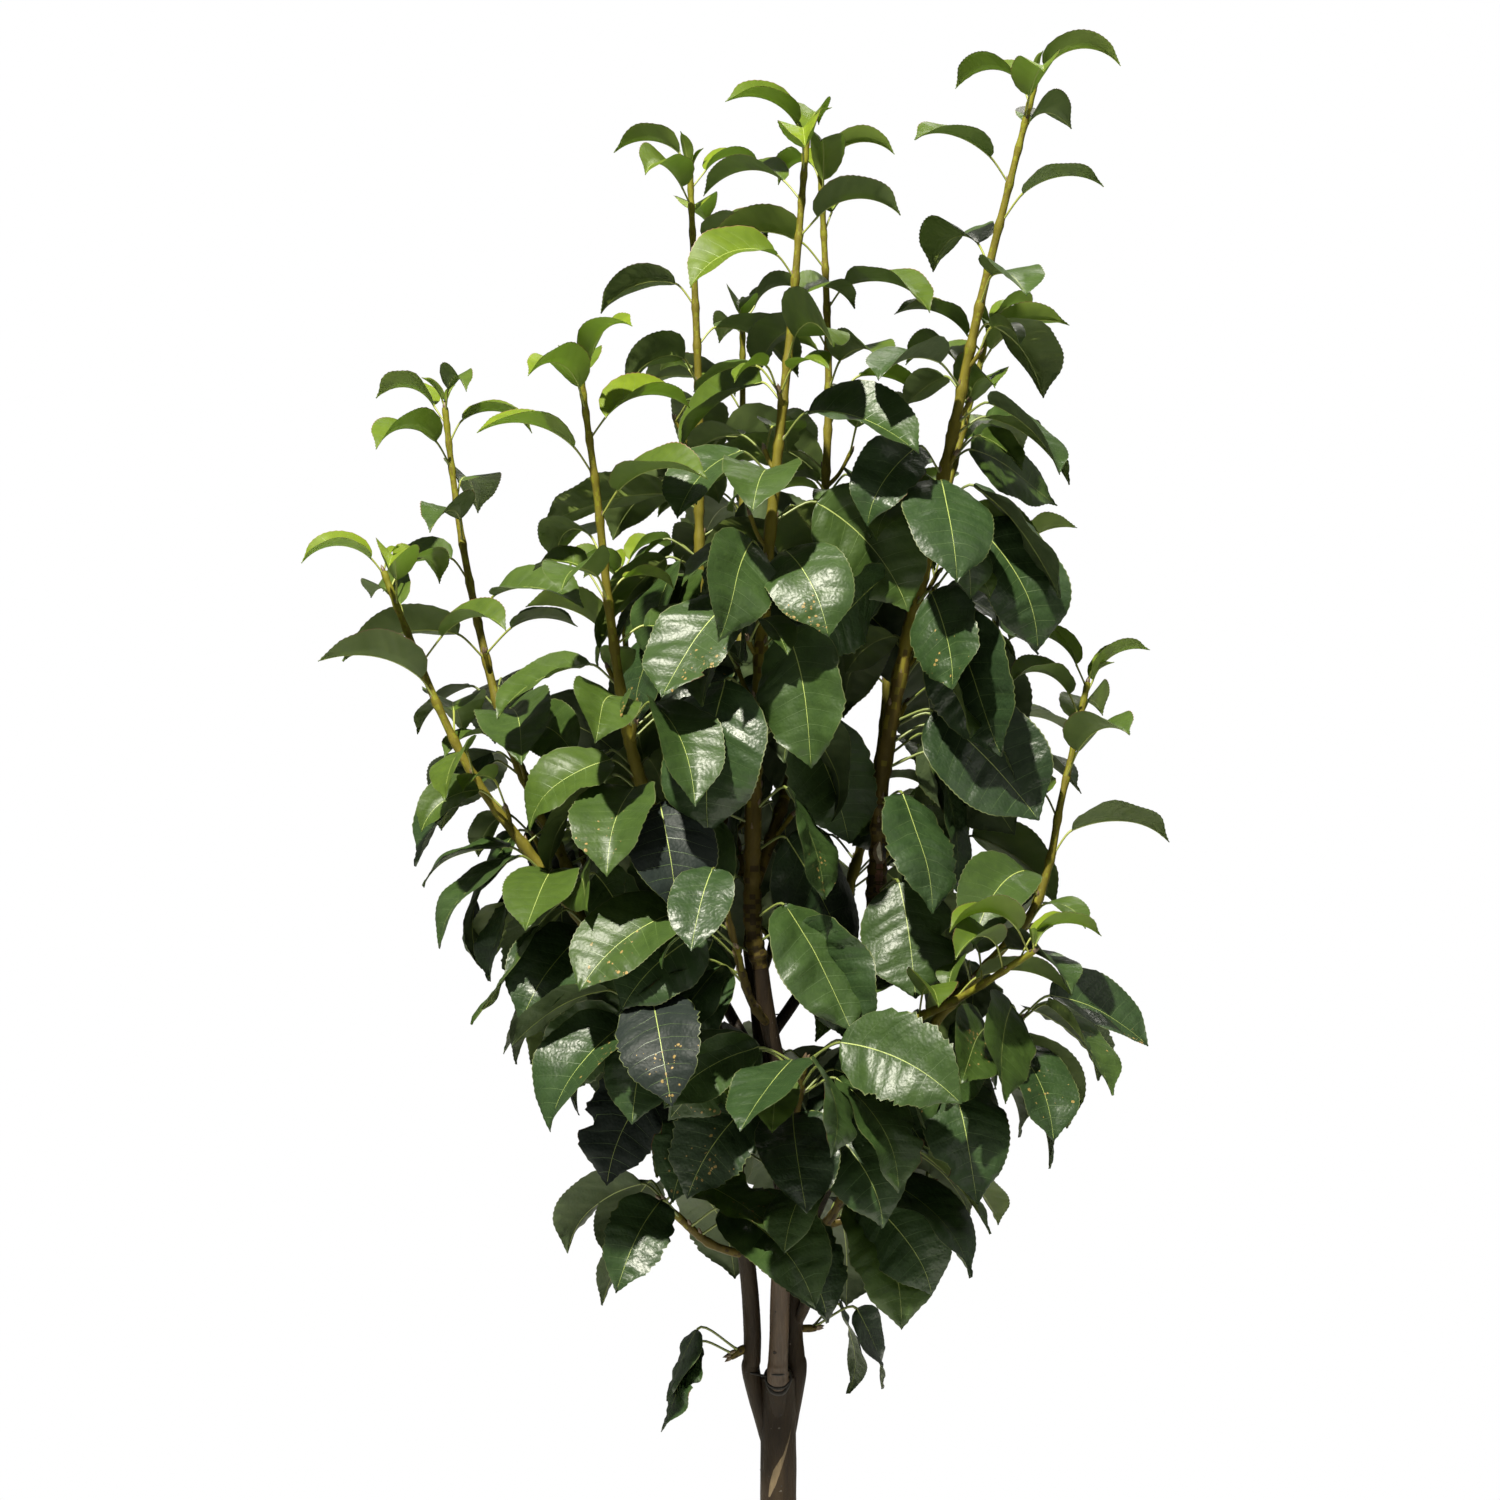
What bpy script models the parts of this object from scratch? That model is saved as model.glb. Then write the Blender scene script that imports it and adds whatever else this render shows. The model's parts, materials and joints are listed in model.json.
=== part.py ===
"""A young pear tree in a plain clay pot.

The pot, its soil, the trunk, each bough and each mass of leafy shoots are one solid each. Sizes are in
metres, +Z is up and the tree's front faces -Y. The origin is the centre of the pot's flat underside.
"""

import math
import random
from collections import namedtuple

import bmesh
import bpy
from mathutils import Vector
from mathutils.bvhtree import BVHTree

GAP = 0.0003  # clearance between pieces that touch
MERGE = 0.00001

# The pot is a turned clay pot with a rim band, filled with soil to a little below the rim.
POT_HEIGHT = 0.270
POT_RIM_RADIUS = 0.152
POT_RIM_BAND = 0.046
POT_RIM_STEP = 0.007
POT_BASE_RADIUS = 0.104
POT_WALL = 0.008
POT_FLOOR = 0.012
POT_SIDES = 32
DRAIN_HOLES = 4
DRAIN_RADIUS = 0.007
DRAIN_CIRCLE = 0.055
SOIL_LEVEL = 0.240
SOIL_CROWN = 0.006  # the soil rises this much towards the trunk

# The trunk runs from the soil to the fork, where three boughs leave it on short stubs.
TRUNK_FOOT = SOIL_LEVEL + SOIL_CROWN + GAP
TRUNK_SIDES = 12
FLARE_RADIUS = 0.024
FLARE_HEIGHT = 0.045
TRUNK_RADIUS = 0.0150
TRUNK_TOP = (-0.001, 0.000, 0.566)
TRUNK_TOP_RADIUS = 0.0130
# The trunk's shoulder is rounded, as (depth below its top, share of its radius there).
SHOULDER = ((0.024, 1.0), (0.010, 0.93), (0.003, 0.70), (0.0, 0.30))
STUB_ROOT = 0.500  # height at which the stubs start inside the trunk
STUB_STRAIGHT = 0.014

# The stump of a pruned twig stands on a bough.
PRUNED_BOUGH = "tall_right"
PRUNED_ROUTE = ((0.014, 0.009, 0.598), (0.020, -0.002, 0.613), (0.026, -0.008, 0.637))
PRUNED_RADIUS = 0.0042

ROUTE_STEPS = 2  # samples between two points of a route
LIMB_SIDES = 6
SHOOT_SIDES = 3

# A limb runs along its route from its parent to its tip. It is bare up to the share named bare, and that
# stretch is the bough. The rest is the stem of the mass of leaves that the limb carries.
Limb = namedtuple("Limb", "name parent route thick thin bare seed")
LIMBS = (
    Limb("left", "trunk",
         ((-0.0205, -0.001, 0.572), (-0.0235, -0.007, 0.635), (-0.054, -0.035, 0.854),
          (-0.110, -0.068, 1.033), (-0.133, -0.085, 1.209), (-0.145, -0.095, 1.300)),
         0.0066, 0.0021, 0.52, 46),
    Limb("leader", "trunk",
         ((-0.001, -0.011, 0.572), (0.001, -0.018, 0.640), (0.004, -0.036, 0.760),
          (-0.020, -0.062, 0.905), (-0.012, -0.066, 1.130), (0.008, -0.052, 1.337),
          (0.020, -0.042, 1.480)),
         0.0074, 0.0021, 0.33, 136),
    Limb("tall_right", "trunk",
         ((0.011, 0.010, 0.572), (0.015, 0.010, 0.640), (0.069, -0.008, 0.878),
          (0.078, -0.020, 1.020), (0.127, -0.036, 1.256), (0.150, -0.042, 1.365),
          (0.188, -0.046, 1.518)),
         0.0082, 0.0021, 0.33, 272),
    Limb("outer_left", "left",
         ((-0.031, -0.015, 0.715), (-0.064, -0.022, 0.785), (-0.133, -0.035, 0.885),
          (-0.224, -0.040, 1.004), (-0.271, -0.036, 1.103), (-0.294, -0.030, 1.160)),
         0.0056, 0.0021, 0.36, 209),
    Limb("outer_right", "tall_right",
         ((0.025, 0.007, 0.680), (0.075, -0.020, 0.766), (0.124, -0.030, 0.836),
          (0.188, -0.028, 0.908), (0.209, -0.018, 0.985), (0.231, -0.002, 1.078)),
         0.0050, 0.0020, 0.38, 205),
    Limb("spread_right", "tall_right",
         ((0.050, -0.001, 0.795), (0.084, -0.050, 0.822), (0.130, -0.082, 0.846),
          (0.183, -0.110, 0.882)),
         0.0042, 0.0020, 0.24, 61),
    Limb("back", "tall_right",
         ((0.016, 0.009, 0.630), (-0.004, 0.044, 0.730), (-0.026, 0.072, 0.905),
          (-0.058, 0.112, 1.103), (-0.062, 0.128, 1.300), (-0.069, 0.130, 1.480)),
         0.0064, 0.0021, 0.30, 293),
    Limb("back_right", "tall_right",
         ((0.062, -0.004, 0.850), (0.109, 0.066, 0.900), (0.155, 0.118, 1.030),
          (0.176, 0.140, 1.165)),
         0.0044, 0.0020, 0.26, 134),
    Limb("rear_left", "back",
         ((-0.010, 0.054, 0.780), (-0.070, 0.125, 0.885), (-0.112, 0.185, 1.020),
          (-0.125, 0.215, 1.170)),
         0.0046, 0.0020, 0.26, 1),
    Limb("rear_right", "back",
         ((-0.012, 0.056, 0.800), (0.045, 0.125, 0.890), (0.082, 0.190, 1.030),
          (0.094, 0.215, 1.215)),
         0.0046, 0.0020, 0.26, 15),
)

# A side shoot leaves the stem of a mass and is fused to it.
Side = namedtuple("Side", "mass route thick thin seed")
SIDES = (
    Side("outer_left",
         ((-0.138, -0.036, 0.892), (-0.165, -0.004, 0.953), (-0.208, 0.034, 1.043),
          (-0.241, 0.058, 1.181), (-0.256, 0.068, 1.290)), 0.0042, 0.0021, 6),
    Side("leader",
         ((-0.020, -0.064, 0.925), (0.006, -0.010, 1.000), (0.026, 0.036, 1.111),
          (0.038, 0.056, 1.295), (0.032, 0.060, 1.470)), 0.0044, 0.0021, 302),
    Side("tall_right",
         ((0.078, -0.020, 1.020), (0.100, 0.018, 1.120), (0.139, 0.056, 1.265),
          (0.160, 0.072, 1.345)), 0.0042, 0.0020, 245),
    Side("back",
         ((-0.036, 0.084, 0.980), (-0.030, 0.150, 1.080), (-0.028, 0.195, 1.230),
          (-0.028, 0.204, 1.372)), 0.0040, 0.0020, 14),
)

# A low shoot leaves a bough at a height, on a compass heading (0 is +X, 90 is +Y), and grows out and up.
Low = namedtuple("Low", "name parent height heading reach rise seed")
LOW_SHOOTS = (
    Low("low_front", "leader", 0.735, -80, 0.080, 0.070, 206),
    Low("high_front", "leader", 0.825, -115, 0.080, 0.100, 334),
    Low("low_front_left", "left", 0.770, -128, 0.100, 0.070, 12),
    Low("low_left", "left", 0.650, 205, 0.070, 0.045, 178),
    Low("high_left", "outer_left", 0.850, 120, 0.085, 0.100, 173),
    Low("low_front_right", "tall_right", 0.660, -60, 0.095, 0.100, 117),
    Low("low_right", "outer_right", 0.755, -15, 0.115, 0.075, 106),
    Low("under_right", "tall_right", 0.670, -15, 0.095, 0.035, 246),
    Low("low_back_right", "tall_right", 0.700, 40, 0.120, 0.090, 310),
    Low("low_back", "back", 0.700, 95, 0.105, 0.080, 45),
    Low("low_back_left", "back", 0.760, 165, 0.115, 0.080, 120),
    Low("high_back", "back", 0.845, 70, 0.080, 0.110, 8),
)
LOW_THICK = 0.0034
LOW_THIN = 0.0020
BARE_FOOT = 0.012  # the part of every shoot nearest to its foot that bears no leaf

# A sprig is a short spur low on a limb with a few leaves.
SPRIGS = (
    Low("sprig_left", "left", 0.580, 178, 0.016, -0.008, 710),
    Low("sprig_right", "tall_right", 0.592, 5, 0.018, 0.000, 885),
)

# Leaves stand in a spiral on a shoot, one to a node near its tip and a few to a spur further down.
SPIRAL = math.radians(144)
FIRST_NODE = 0.004
FIRST_STEP = 0.010
STEP_GROWTH = 1.4
INTERNODE = 0.031
SPUR_FROM = 0.260
SPUR_STAGGER = 0.009
SPUR_FAN = math.radians(54)
SPUR_LEAVES = (2, 3)
FULL_AGE = 0.420  # distance from the tip at which a leaf is fully grown and hangs
LOW_AGE = 0.70  # youngest age of a leaf on a low shoot
SPRIG_AGE = 1.0
OUTWARD = 0.30  # how far an old leaf turns from its place in the spiral to the outside of the crown
SPRIG_OUTWARD = 0.80  # the same for the leaves of a sprig
SPRIG_SIZE = 0.68
LIGHT_TURN = 0.75  # how far an old leaf rolls about its midrib until its face looks out of the crown
LIGHT_RISE = math.radians(35)
MOST_ROLL = math.radians(75)
WIDEST = 0.41  # where the blade is widest, as a share of its length
LEAF_THICK = 0.019  # share of the blade's length
OLD_SECTIONS = (0.28, 0.66)  # shares of the blade's length at which it has a cross-section
YOUNG_SECTIONS = (0.42,)
YOUNG = 0.40
PETIOLE_RADIUS = 0.0011
CLEAR = 0.0032  # half the depth of the space that each blade keeps to itself
CLEAR_WIDTH = 1.04
TRIES = 9
LOWEST_LEAF = 0.500
CROWN_AXIS = (-0.010, 0.020)

Leaf = namedtuple(
    "Leaf", "root heading rise petiole start arch length width fold roll bend age"
)

BARK = (0.115, 0.085, 0.060, 1.0)
LEAF_GREEN = (0.055, 0.120, 0.030, 1.0)
CLAY = (0.500, 0.205, 0.105, 1.0)
SOIL = (0.045, 0.030, 0.020, 1.0)


def material(name, colour, roughness):
    """A plain non-metal surface."""
    made = bpy.data.materials.new(name)
    made.use_nodes = True
    shader = made.node_tree.nodes["Principled BSDF"]
    shader.inputs["Base Color"].default_value = colour
    shader.inputs["Roughness"].default_value = roughness
    shader.inputs["Metallic"].default_value = 0.0
    return made


def lerp(low, high, share):
    return low + (high - low) * share


def smooth_route(route, steps):
    """Points on a Catmull-Rom curve through the route."""
    points = [Vector(p) for p in route]
    ends = [2 * points[0] - points[1], *points, 2 * points[-1] - points[-2]]
    made = []
    for before, start, stop, after in zip(ends, ends[1:], ends[2:], ends[3:]):
        for i in range(steps):
            t = i / steps
            made.append(0.5 * (2 * start + (stop - before) * t
                               + (2 * before - 5 * start + 4 * stop - after) * t ** 2
                               + (3 * start - before - 3 * stop + after) * t ** 3))
    return [*made, points[-1]]


def lengths_along(points):
    """Distance of each point from the first, along the line."""
    total, made = 0.0, [0.0]
    for a, b in zip(points, points[1:]):
        total += (b - a).length
        made.append(total)
    return made


def at_distance(points, distance):
    """(point, direction) at that distance along the line."""
    for a, b in zip(points, points[1:]):
        step = (b - a).length
        if distance <= step:
            return a.lerp(b, distance / step), (b - a).normalized()
        distance -= step
    return points[-1].copy(), (points[-1] - points[-2]).normalized()


def tapered(points, thick, thin):
    """A radius for each point, from thick at the start to thin at the end."""
    along = lengths_along(points)
    return [lerp(thick, thin, (d / along[-1]) ** 1.15) for d in along]


def split(points, radii, share):
    """The line and its radii before and after a share of its length, with a square cut and a gap."""
    along = lengths_along(points)
    cut = share * along[-1]
    i = next(k for k, d in enumerate(along[1:]) if d > cut)
    a, b = points[i], points[i + 1]
    inside = (cut - along[i]) / (along[i + 1] - along[i])
    middle = a.lerp(b, lerp(0.25, 0.75, inside))
    half_gap = (b - a).normalized() * GAP / 2
    radius = lerp(radii[i], radii[i + 1], inside)
    return ((points[:i + 1] + [middle - half_gap], radii[:i + 1] + [radius]),
            ([middle + half_gap] + points[i + 1:], [radius] + radii[i + 1:]))


def nearest(points, place):
    """The point on the line that is nearest to the place."""
    found = []
    for a, b in zip(points, points[1:]):
        share = (place - a).dot(b - a) / (b - a).length_squared
        found.append(a.lerp(b, max(0.0, min(1.0, share))))
    return min(found, key=lambda p: (p - place).length)


def add_object(name, mesh, surface, collection):
    made = bpy.data.objects.new(name, mesh)
    mesh.materials.clear()
    mesh.materials.append(surface)
    collection.objects.link(made)
    return made


def curve_object(name, points, radii, dimensions):
    """A polyline curve in the helpers' collection."""
    curve = bpy.data.curves.new(name, "CURVE")
    curve.dimensions = dimensions
    spline = curve.splines.new("POLY")
    spline.points.add(len(points) - 1)
    for control, point, radius in zip(spline.points, points, radii):
        control.co = (*point, 1.0)
        control.radius = radius
    made = bpy.data.objects.new(name, curve)
    helpers().objects.link(made)
    return made


def tube(name, points, radii, sides, surface, collection):
    """A closed limb along the points, as a mesh object. It has three sides, or an even number of them."""
    guide = curve_object(name + "_guide", points, radii, "3D")
    curve = guide.data
    curve.use_fill_caps = True
    if sides == 3:
        curve.bevel_mode = "OBJECT"
        curve.bevel_object = triangle()
    else:
        curve.bevel_depth = 1.0
        curve.bevel_resolution = sides // 2 - 2
    mesh = evaluated_mesh(guide)
    bpy.data.objects.remove(guide)
    weld(mesh)
    mesh.name = name
    return add_object(name, mesh, surface, collection)


def triangle():
    """The unit triangle that shoots are swept from."""
    name = "shoot_section"
    if name not in bpy.data.objects:
        corners = [(math.cos(math.tau * i / 3), math.sin(math.tau * i / 3), 0.0) for i in range(3)]
        made = curve_object(name, corners, (1.0, 1.0, 1.0), "2D")
        made.data.splines[0].use_cyclic_u = True
    return bpy.data.objects[name]


def helpers():
    """The hidden collection for guides and cutters."""
    name = "helpers"
    if name not in bpy.data.collections:
        made = bpy.data.collections.new(name)
        made.hide_render = True
        bpy.context.scene.collection.children.link(made)
    return bpy.data.collections[name]


def evaluated_mesh(thing):
    """A new mesh of the object with its modifiers or bevel applied."""
    bpy.context.view_layer.update()
    graph = bpy.context.evaluated_depsgraph_get()
    return bpy.data.meshes.new_from_object(thing.evaluated_get(graph))


def weld(mesh):
    """Joins a curve's caps to its sides and turns the faces outwards."""
    work = bmesh.new()
    work.from_mesh(mesh)
    bmesh.ops.remove_doubles(work, verts=work.verts, dist=MERGE)
    bmesh.ops.recalc_face_normals(work, faces=work.faces)
    work.to_mesh(mesh)
    work.free()


def boolean(target, operation, cutter=None, collection=None):
    """Applies one Boolean to the target."""
    modifier = target.modifiers.new(operation.lower(), "BOOLEAN")
    modifier.operation = operation
    modifier.solver = "EXACT"
    if collection is None:
        modifier.object = cutter
    else:
        modifier.operand_type = "COLLECTION"
        modifier.collection = collection
    mesh = evaluated_mesh(target)
    target.modifiers.clear()
    target.data = mesh


def keep_largest_piece(mesh):
    """Drops loose scraps and the walls of sealed hollows."""
    work = bmesh.new()
    work.from_mesh(mesh)
    unseen, groups = set(work.verts), []
    while unseen:
        group, front = set(), [unseen.pop()]
        while front:
            vert = front.pop()
            group.add(vert)
            for edge in vert.link_edges:
                other = edge.other_vert(vert)
                if other in unseen:
                    unseen.remove(other)
                    front.append(other)
        groups.append(group)
    groups.sort(key=len)
    for group in groups[:-1]:
        bmesh.ops.delete(work, geom=list(group), context="VERTS")
    work.to_mesh(mesh)
    work.free()


# The leaf's shape


def width_at(share):
    """The blade's width at a share of its length. It is 1 at its widest, and the tip is pointed."""
    if share < WIDEST:
        return math.sqrt(max(0.0, 1 - ((WIDEST - share) / WIDEST) ** 2))
    return (1 - ((share - WIDEST) / (1 - WIDEST)) ** 2.1) ** 0.95


def leaf_frames(leaf, shares):
    """(point, tangent, side, normal) on the midrib at each share of the blade's length, which rise."""
    steps = 24
    heading, angle = leaf.heading, leaf.start
    place = leaf.root + direction(leaf.heading, leaf.rise) * leaf.petiole
    wanted, made = list(shares), []
    for i in range(steps + 1):
        share = i / steps
        angle = leaf.start - leaf.arch * share
        heading = leaf.heading + leaf.bend * share
        tangent = direction(heading, angle)
        while wanted and wanted[0] <= share + 1e-9:
            side, normal = blade_axes(heading, angle, leaf.roll)
            made.append((place - tangent * leaf.length * (share - wanted.pop(0)), tangent, side, normal))
        place = place + tangent * leaf.length / steps
    return made


def direction(heading, rise):
    return Vector((math.cos(heading) * math.cos(rise), math.sin(heading) * math.cos(rise), math.sin(rise)))


def blade_axes(heading, angle, roll):
    """The blade's sideways axis and its upper face's normal."""
    side = Vector((-math.sin(heading), math.cos(heading), 0.0))
    normal = direction(heading, angle + math.pi / 2)
    return (side * math.cos(roll) + normal * math.sin(roll),
            normal * math.cos(roll) - side * math.sin(roll))


def leaf_rings(leaf, depth, widen, from_blade):
    """Cross-sections of a leaf, from the root of its petiole to its tip."""
    rings = []
    base = leaf.root + direction(leaf.heading, leaf.rise) * leaf.petiole
    if from_blade:
        rings.append([base])
    else:
        for place, radius, angle, roll in (
                (leaf.root, PETIOLE_RADIUS, leaf.rise, 0.0),
                (base, PETIOLE_RADIUS * 0.8, (leaf.rise + leaf.start) / 2, leaf.roll / 2)):
            side, normal = blade_axes(leaf.heading, angle, roll)
            rings.append([place + (side * math.cos(a) + normal * math.sin(a)) * radius
                          for a in (math.radians(30), math.radians(150), math.radians(-90))])
    shares = YOUNG_SECTIONS if leaf.age < YOUNG else OLD_SECTIONS
    frames = leaf_frames(leaf, (*shares, 1.0))
    for share, (place, _, side, normal) in zip(shares, frames):
        reach = leaf.width / 2 * width_at(share) * widen
        up = normal * (reach * math.sin(leaf.fold))
        out = side * (reach * math.cos(leaf.fold))
        rings.append([place + out + up, place + normal * depth, place - out + up, place - normal * depth])
    rings.append([frames[-1][0]])
    return rings


def loft(rings):
    """(points, faces) of a closed skin over rings of one, three or four points."""
    points = [p for ring in rings for p in ring]
    faces, first = [], 0
    for ring, following in zip(rings, rings[1:]):
        m, n = len(ring), len(following)
        a = [first + k for k in range(m)]
        b = [first + m + k for k in range(n)]
        faces += strip(a, b) if m == n else bridge(a, b)
        first += m
    if len(rings[0]) > 2:
        faces.append(tuple(reversed(range(len(rings[0])))))
    return points, faces


def strip(a, b):
    """Faces between two like rings. Every second diagonal leans the other way, so that a blade's upper and
    under side bend along the same lines."""
    made = []
    for k in range(len(a)):
        a0, a1 = a[k], a[(k + 1) % len(a)]
        b0, b1 = b[k], b[(k + 1) % len(b)]
        made += [(a0, a1, b1), (a0, b1, b0)] if k % 2 else [(a0, a1, b0), (a1, b1, b0)]
    return made


def bridge(a, b):
    """Faces between two rings with unlike numbers of points, either of which may be a single point."""
    made = []
    i = j = 0
    while i < len(a) or j < len(b):
        if j >= len(b) or (i < len(a) and (i + 1) / len(a) <= (j + 1) / len(b)):
            if len(a) > 1:
                made.append((a[i], a[(i + 1) % len(a)], b[j % len(b)]))
            i += 1
        else:
            if len(b) > 1:
                made.append((a[i % len(a)], b[(j + 1) % len(b)], b[j]))
            j += 1
    return made


def leaf_skin(leaf):
    """(points, faces) of a closed leaf with its petiole."""
    return loft(leaf_rings(leaf, leaf.length * LEAF_THICK / 2, 1.0, False))


def leaf_object(name, leaf, surface, collection):
    points, faces = leaf_skin(leaf)
    mesh = bpy.data.meshes.new(name)
    mesh.from_pydata(points, [], faces)
    weld(mesh)
    return add_object(name, mesh, surface, collection)


# Growth


class Space:
    """What has grown so far, so that nothing grows through it."""

    def __init__(self):
        self.items = []

    def add(self, points, faces, owner=None):
        centre = sum(points, Vector()) / len(points)
        reach = max((p - centre).length for p in points)
        self.items.append((centre, reach, BVHTree.FromPolygons(points, faces), owner))

    def add_limb(self, points, radii, owner):
        self.add(*loft([square(points, radii, i) for i in range(len(points))]), owner)

    def holds(self, points, faces, but=()):
        """True if what is there crosses the skin, apart from what the named owners have there."""
        centre = sum(points, Vector()) / len(points)
        reach = max((p - centre).length for p in points)
        tree = BVHTree.FromPolygons(points, faces)
        return any((centre - c).length < reach + r and tree.overlap(t)
                   for c, r, t, owner in self.items if owner not in but)


def square(points, radii, i):
    """The corners of a square that holds the limb's section at its point i, with a gap round it."""
    along = (points[min(i + 1, len(points) - 1)] - points[max(i - 1, 0)]).normalized()
    side = along.cross(Vector((0.0, 1.0, 0.0))).normalized() * (radii[i] + 2 * GAP)
    other = side.cross(along)
    return [points[i] + side * a + other * b for a, b in ((1, 1), (-1, 1), (-1, -1), (1, -1))]


def nodes_on(length):
    """Distances from the tip of a shoot at which leaves stand."""
    distance, step, made = FIRST_NODE, FIRST_STEP, []
    while distance < length:
        made.append(distance)
        distance += step
        step = min(step * STEP_GROWTH, INTERNODE)
    return made


def make_leaf(rng, root, heading, age, size):
    """A leaf of that age: young ones are small, narrow, folded and upright, and old ones hang."""
    length = lerp(0.054, 0.106, age ** 0.5) * size * rng.uniform(0.80, 1.12)
    start = math.radians(lerp(56, -46, age) + rng.uniform(-16, 16))
    arch = math.radians(lerp(92, 34, age) + rng.uniform(-14, 14))
    turn = LIGHT_TURN * age * roll_to_light(root, heading, start - arch / 2)
    return Leaf(
        root=root,
        heading=heading,
        rise=math.radians(lerp(58, 20, age) + rng.uniform(-8, 8)),
        petiole=lerp(0.018, 0.036, age ** 0.6) * rng.uniform(0.85, 1.15),
        start=start,
        arch=arch,
        length=length,
        width=length * lerp(0.56, 0.74, age) * rng.uniform(0.90, 1.10),
        fold=math.radians(lerp(36, 12, age) + rng.uniform(-6, 6)),
        roll=turn + math.radians(rng.uniform(-24, 24)),
        bend=math.radians(rng.uniform(-25, 25)),
        age=age,
    )


def roll_to_light(root, heading, angle):
    """The roll that turns the upper face of a blade at that heading and angle to the light outside."""
    side, normal = blade_axes(heading, angle, 0.0)
    light = direction(outward(root), LIGHT_RISE)
    roll = math.atan2(-side.dot(light), normal.dot(light))
    return max(-MOST_ROLL, min(MOST_ROLL, roll))


def leaf_fits(leaf, space, owner):
    """True if the blade and its petiole stay clear of all that has grown. Only the petiole's root may
    touch its own shoot and the leaves beside it."""
    points, faces = loft(leaf_rings(leaf, CLEAR, CLEAR_WIDTH, True))
    if min(p.z for p in points) < LOWEST_LEAF or space.holds(points, faces):
        return False
    root, base = leaf_rings(leaf, CLEAR, CLEAR_WIDTH, False)[:2]
    outer = [a.lerp(b, 0.35) for a, b in zip(root, base)]
    return not (space.holds(*loft([root, base]), (owner, owner + "_leaf"))
                or space.holds(*loft([outer, base]), (owner,)))


def outward(place):
    """The heading from the crown's axis to the place."""
    return math.atan2(place.y - CROWN_AXIS[1], place.x - CROWN_AXIS[0])


def turned_by(heading, aim, share):
    """The heading after a turn through a share of the angle to the aim."""
    return heading + share * math.remainder(aim - heading, math.tau)


def grow_leaves(rng, stem, space, owner, base_age):
    """The leaves of one shoot from its tip down to its bare foot, those that find no room left out."""
    line = list(reversed(stem))
    length = lengths_along(line)[-1]
    sprig = base_age == SPRIG_AGE
    phase = rng.uniform(0, math.tau)
    turn = rng.choice((-1, 1))
    made = []
    for k, distance in enumerate(nodes_on(length - BARE_FOOT)):
        age = min(1.0, base_age + (1 - base_age) * distance / FULL_AGE)
        spur = distance > SPUR_FROM or base_age > 0
        count = rng.randint(*SPUR_LEAVES) if spur else 1
        for n in range(count):
            off = n - (count - 1) / 2
            root, _ = at_distance(line, max(FIRST_NODE, distance + off * SPUR_STAGGER))
            heading = phase + turn * SPIRAL * k + off * SPUR_FAN + math.radians(rng.uniform(-14, 14))
            heading = turned_by(heading, outward(root), SPRIG_OUTWARD if sprig else OUTWARD * age)
            for attempt in range(TRIES):
                aim = heading + math.radians(13) * attempt * (-1) ** attempt
                leaf = make_leaf(rng, root, aim, age, SPRIG_SIZE if sprig else 1.0)
                if leaf_fits(leaf, space, owner):
                    space.add(*leaf_skin(leaf), owner + "_leaf")
                    made.append(leaf)
                    break
    return made


# The pieces


def build_pot(collection):
    """A turned pot with a rim band, holed in the floor."""
    outer_under_rim = POT_RIM_RADIUS - POT_RIM_STEP
    inner_rim = POT_RIM_RADIUS - POT_RIM_STEP - POT_WALL
    round_edge = 0.003
    profile = (
        (0.0, POT_FLOOR),
        (POT_BASE_RADIUS - POT_WALL, POT_FLOOR),
        (inner_rim, POT_HEIGHT - round_edge),
        (inner_rim + round_edge, POT_HEIGHT),
        (POT_RIM_RADIUS - round_edge, POT_HEIGHT),
        (POT_RIM_RADIUS, POT_HEIGHT - round_edge),
        (POT_RIM_RADIUS - 0.001, POT_HEIGHT - POT_RIM_BAND + round_edge),
        (POT_RIM_RADIUS - round_edge, POT_HEIGHT - POT_RIM_BAND),
        (outer_under_rim - 0.003, POT_HEIGHT - POT_RIM_BAND - 0.001),
        (POT_BASE_RADIUS + 0.001, round_edge),
        (POT_BASE_RADIUS - round_edge, 0.0),
        (0.0, 0.0),
    )
    pot = turned("pot", profile, POT_SIDES, material("clay", CLAY, 0.85), collection)
    for i in range(DRAIN_HOLES):
        angle = math.tau * (i + 0.5) / DRAIN_HOLES
        bpy.ops.mesh.primitive_cylinder_add(
            vertices=12, radius=DRAIN_RADIUS, depth=POT_FLOOR * 3,
            location=(DRAIN_CIRCLE * math.cos(angle), DRAIN_CIRCLE * math.sin(angle), POT_FLOOR / 2))
        cutter = bpy.context.object
        boolean(pot, "DIFFERENCE", cutter)
        bpy.data.objects.remove(cutter)
    return pot


def turned(name, profile, sides, surface, collection):
    """A solid of revolution of (radius, height) points, which start and end on the axis."""
    mesh = bpy.data.meshes.new(name)
    mesh.from_pydata([(r, 0.0, z) for r, z in profile], [(i, i + 1) for i in range(len(profile) - 1)], [])
    made = add_object(name, mesh, surface, collection)
    screw = made.modifiers.new("screw", "SCREW")
    screw.steps = screw.render_steps = sides
    screw.use_merge_vertices = True
    screw.merge_threshold = MERGE
    mesh = evaluated_mesh(made)
    made.modifiers.clear()
    made.data = mesh
    weld(mesh)
    return made


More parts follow.
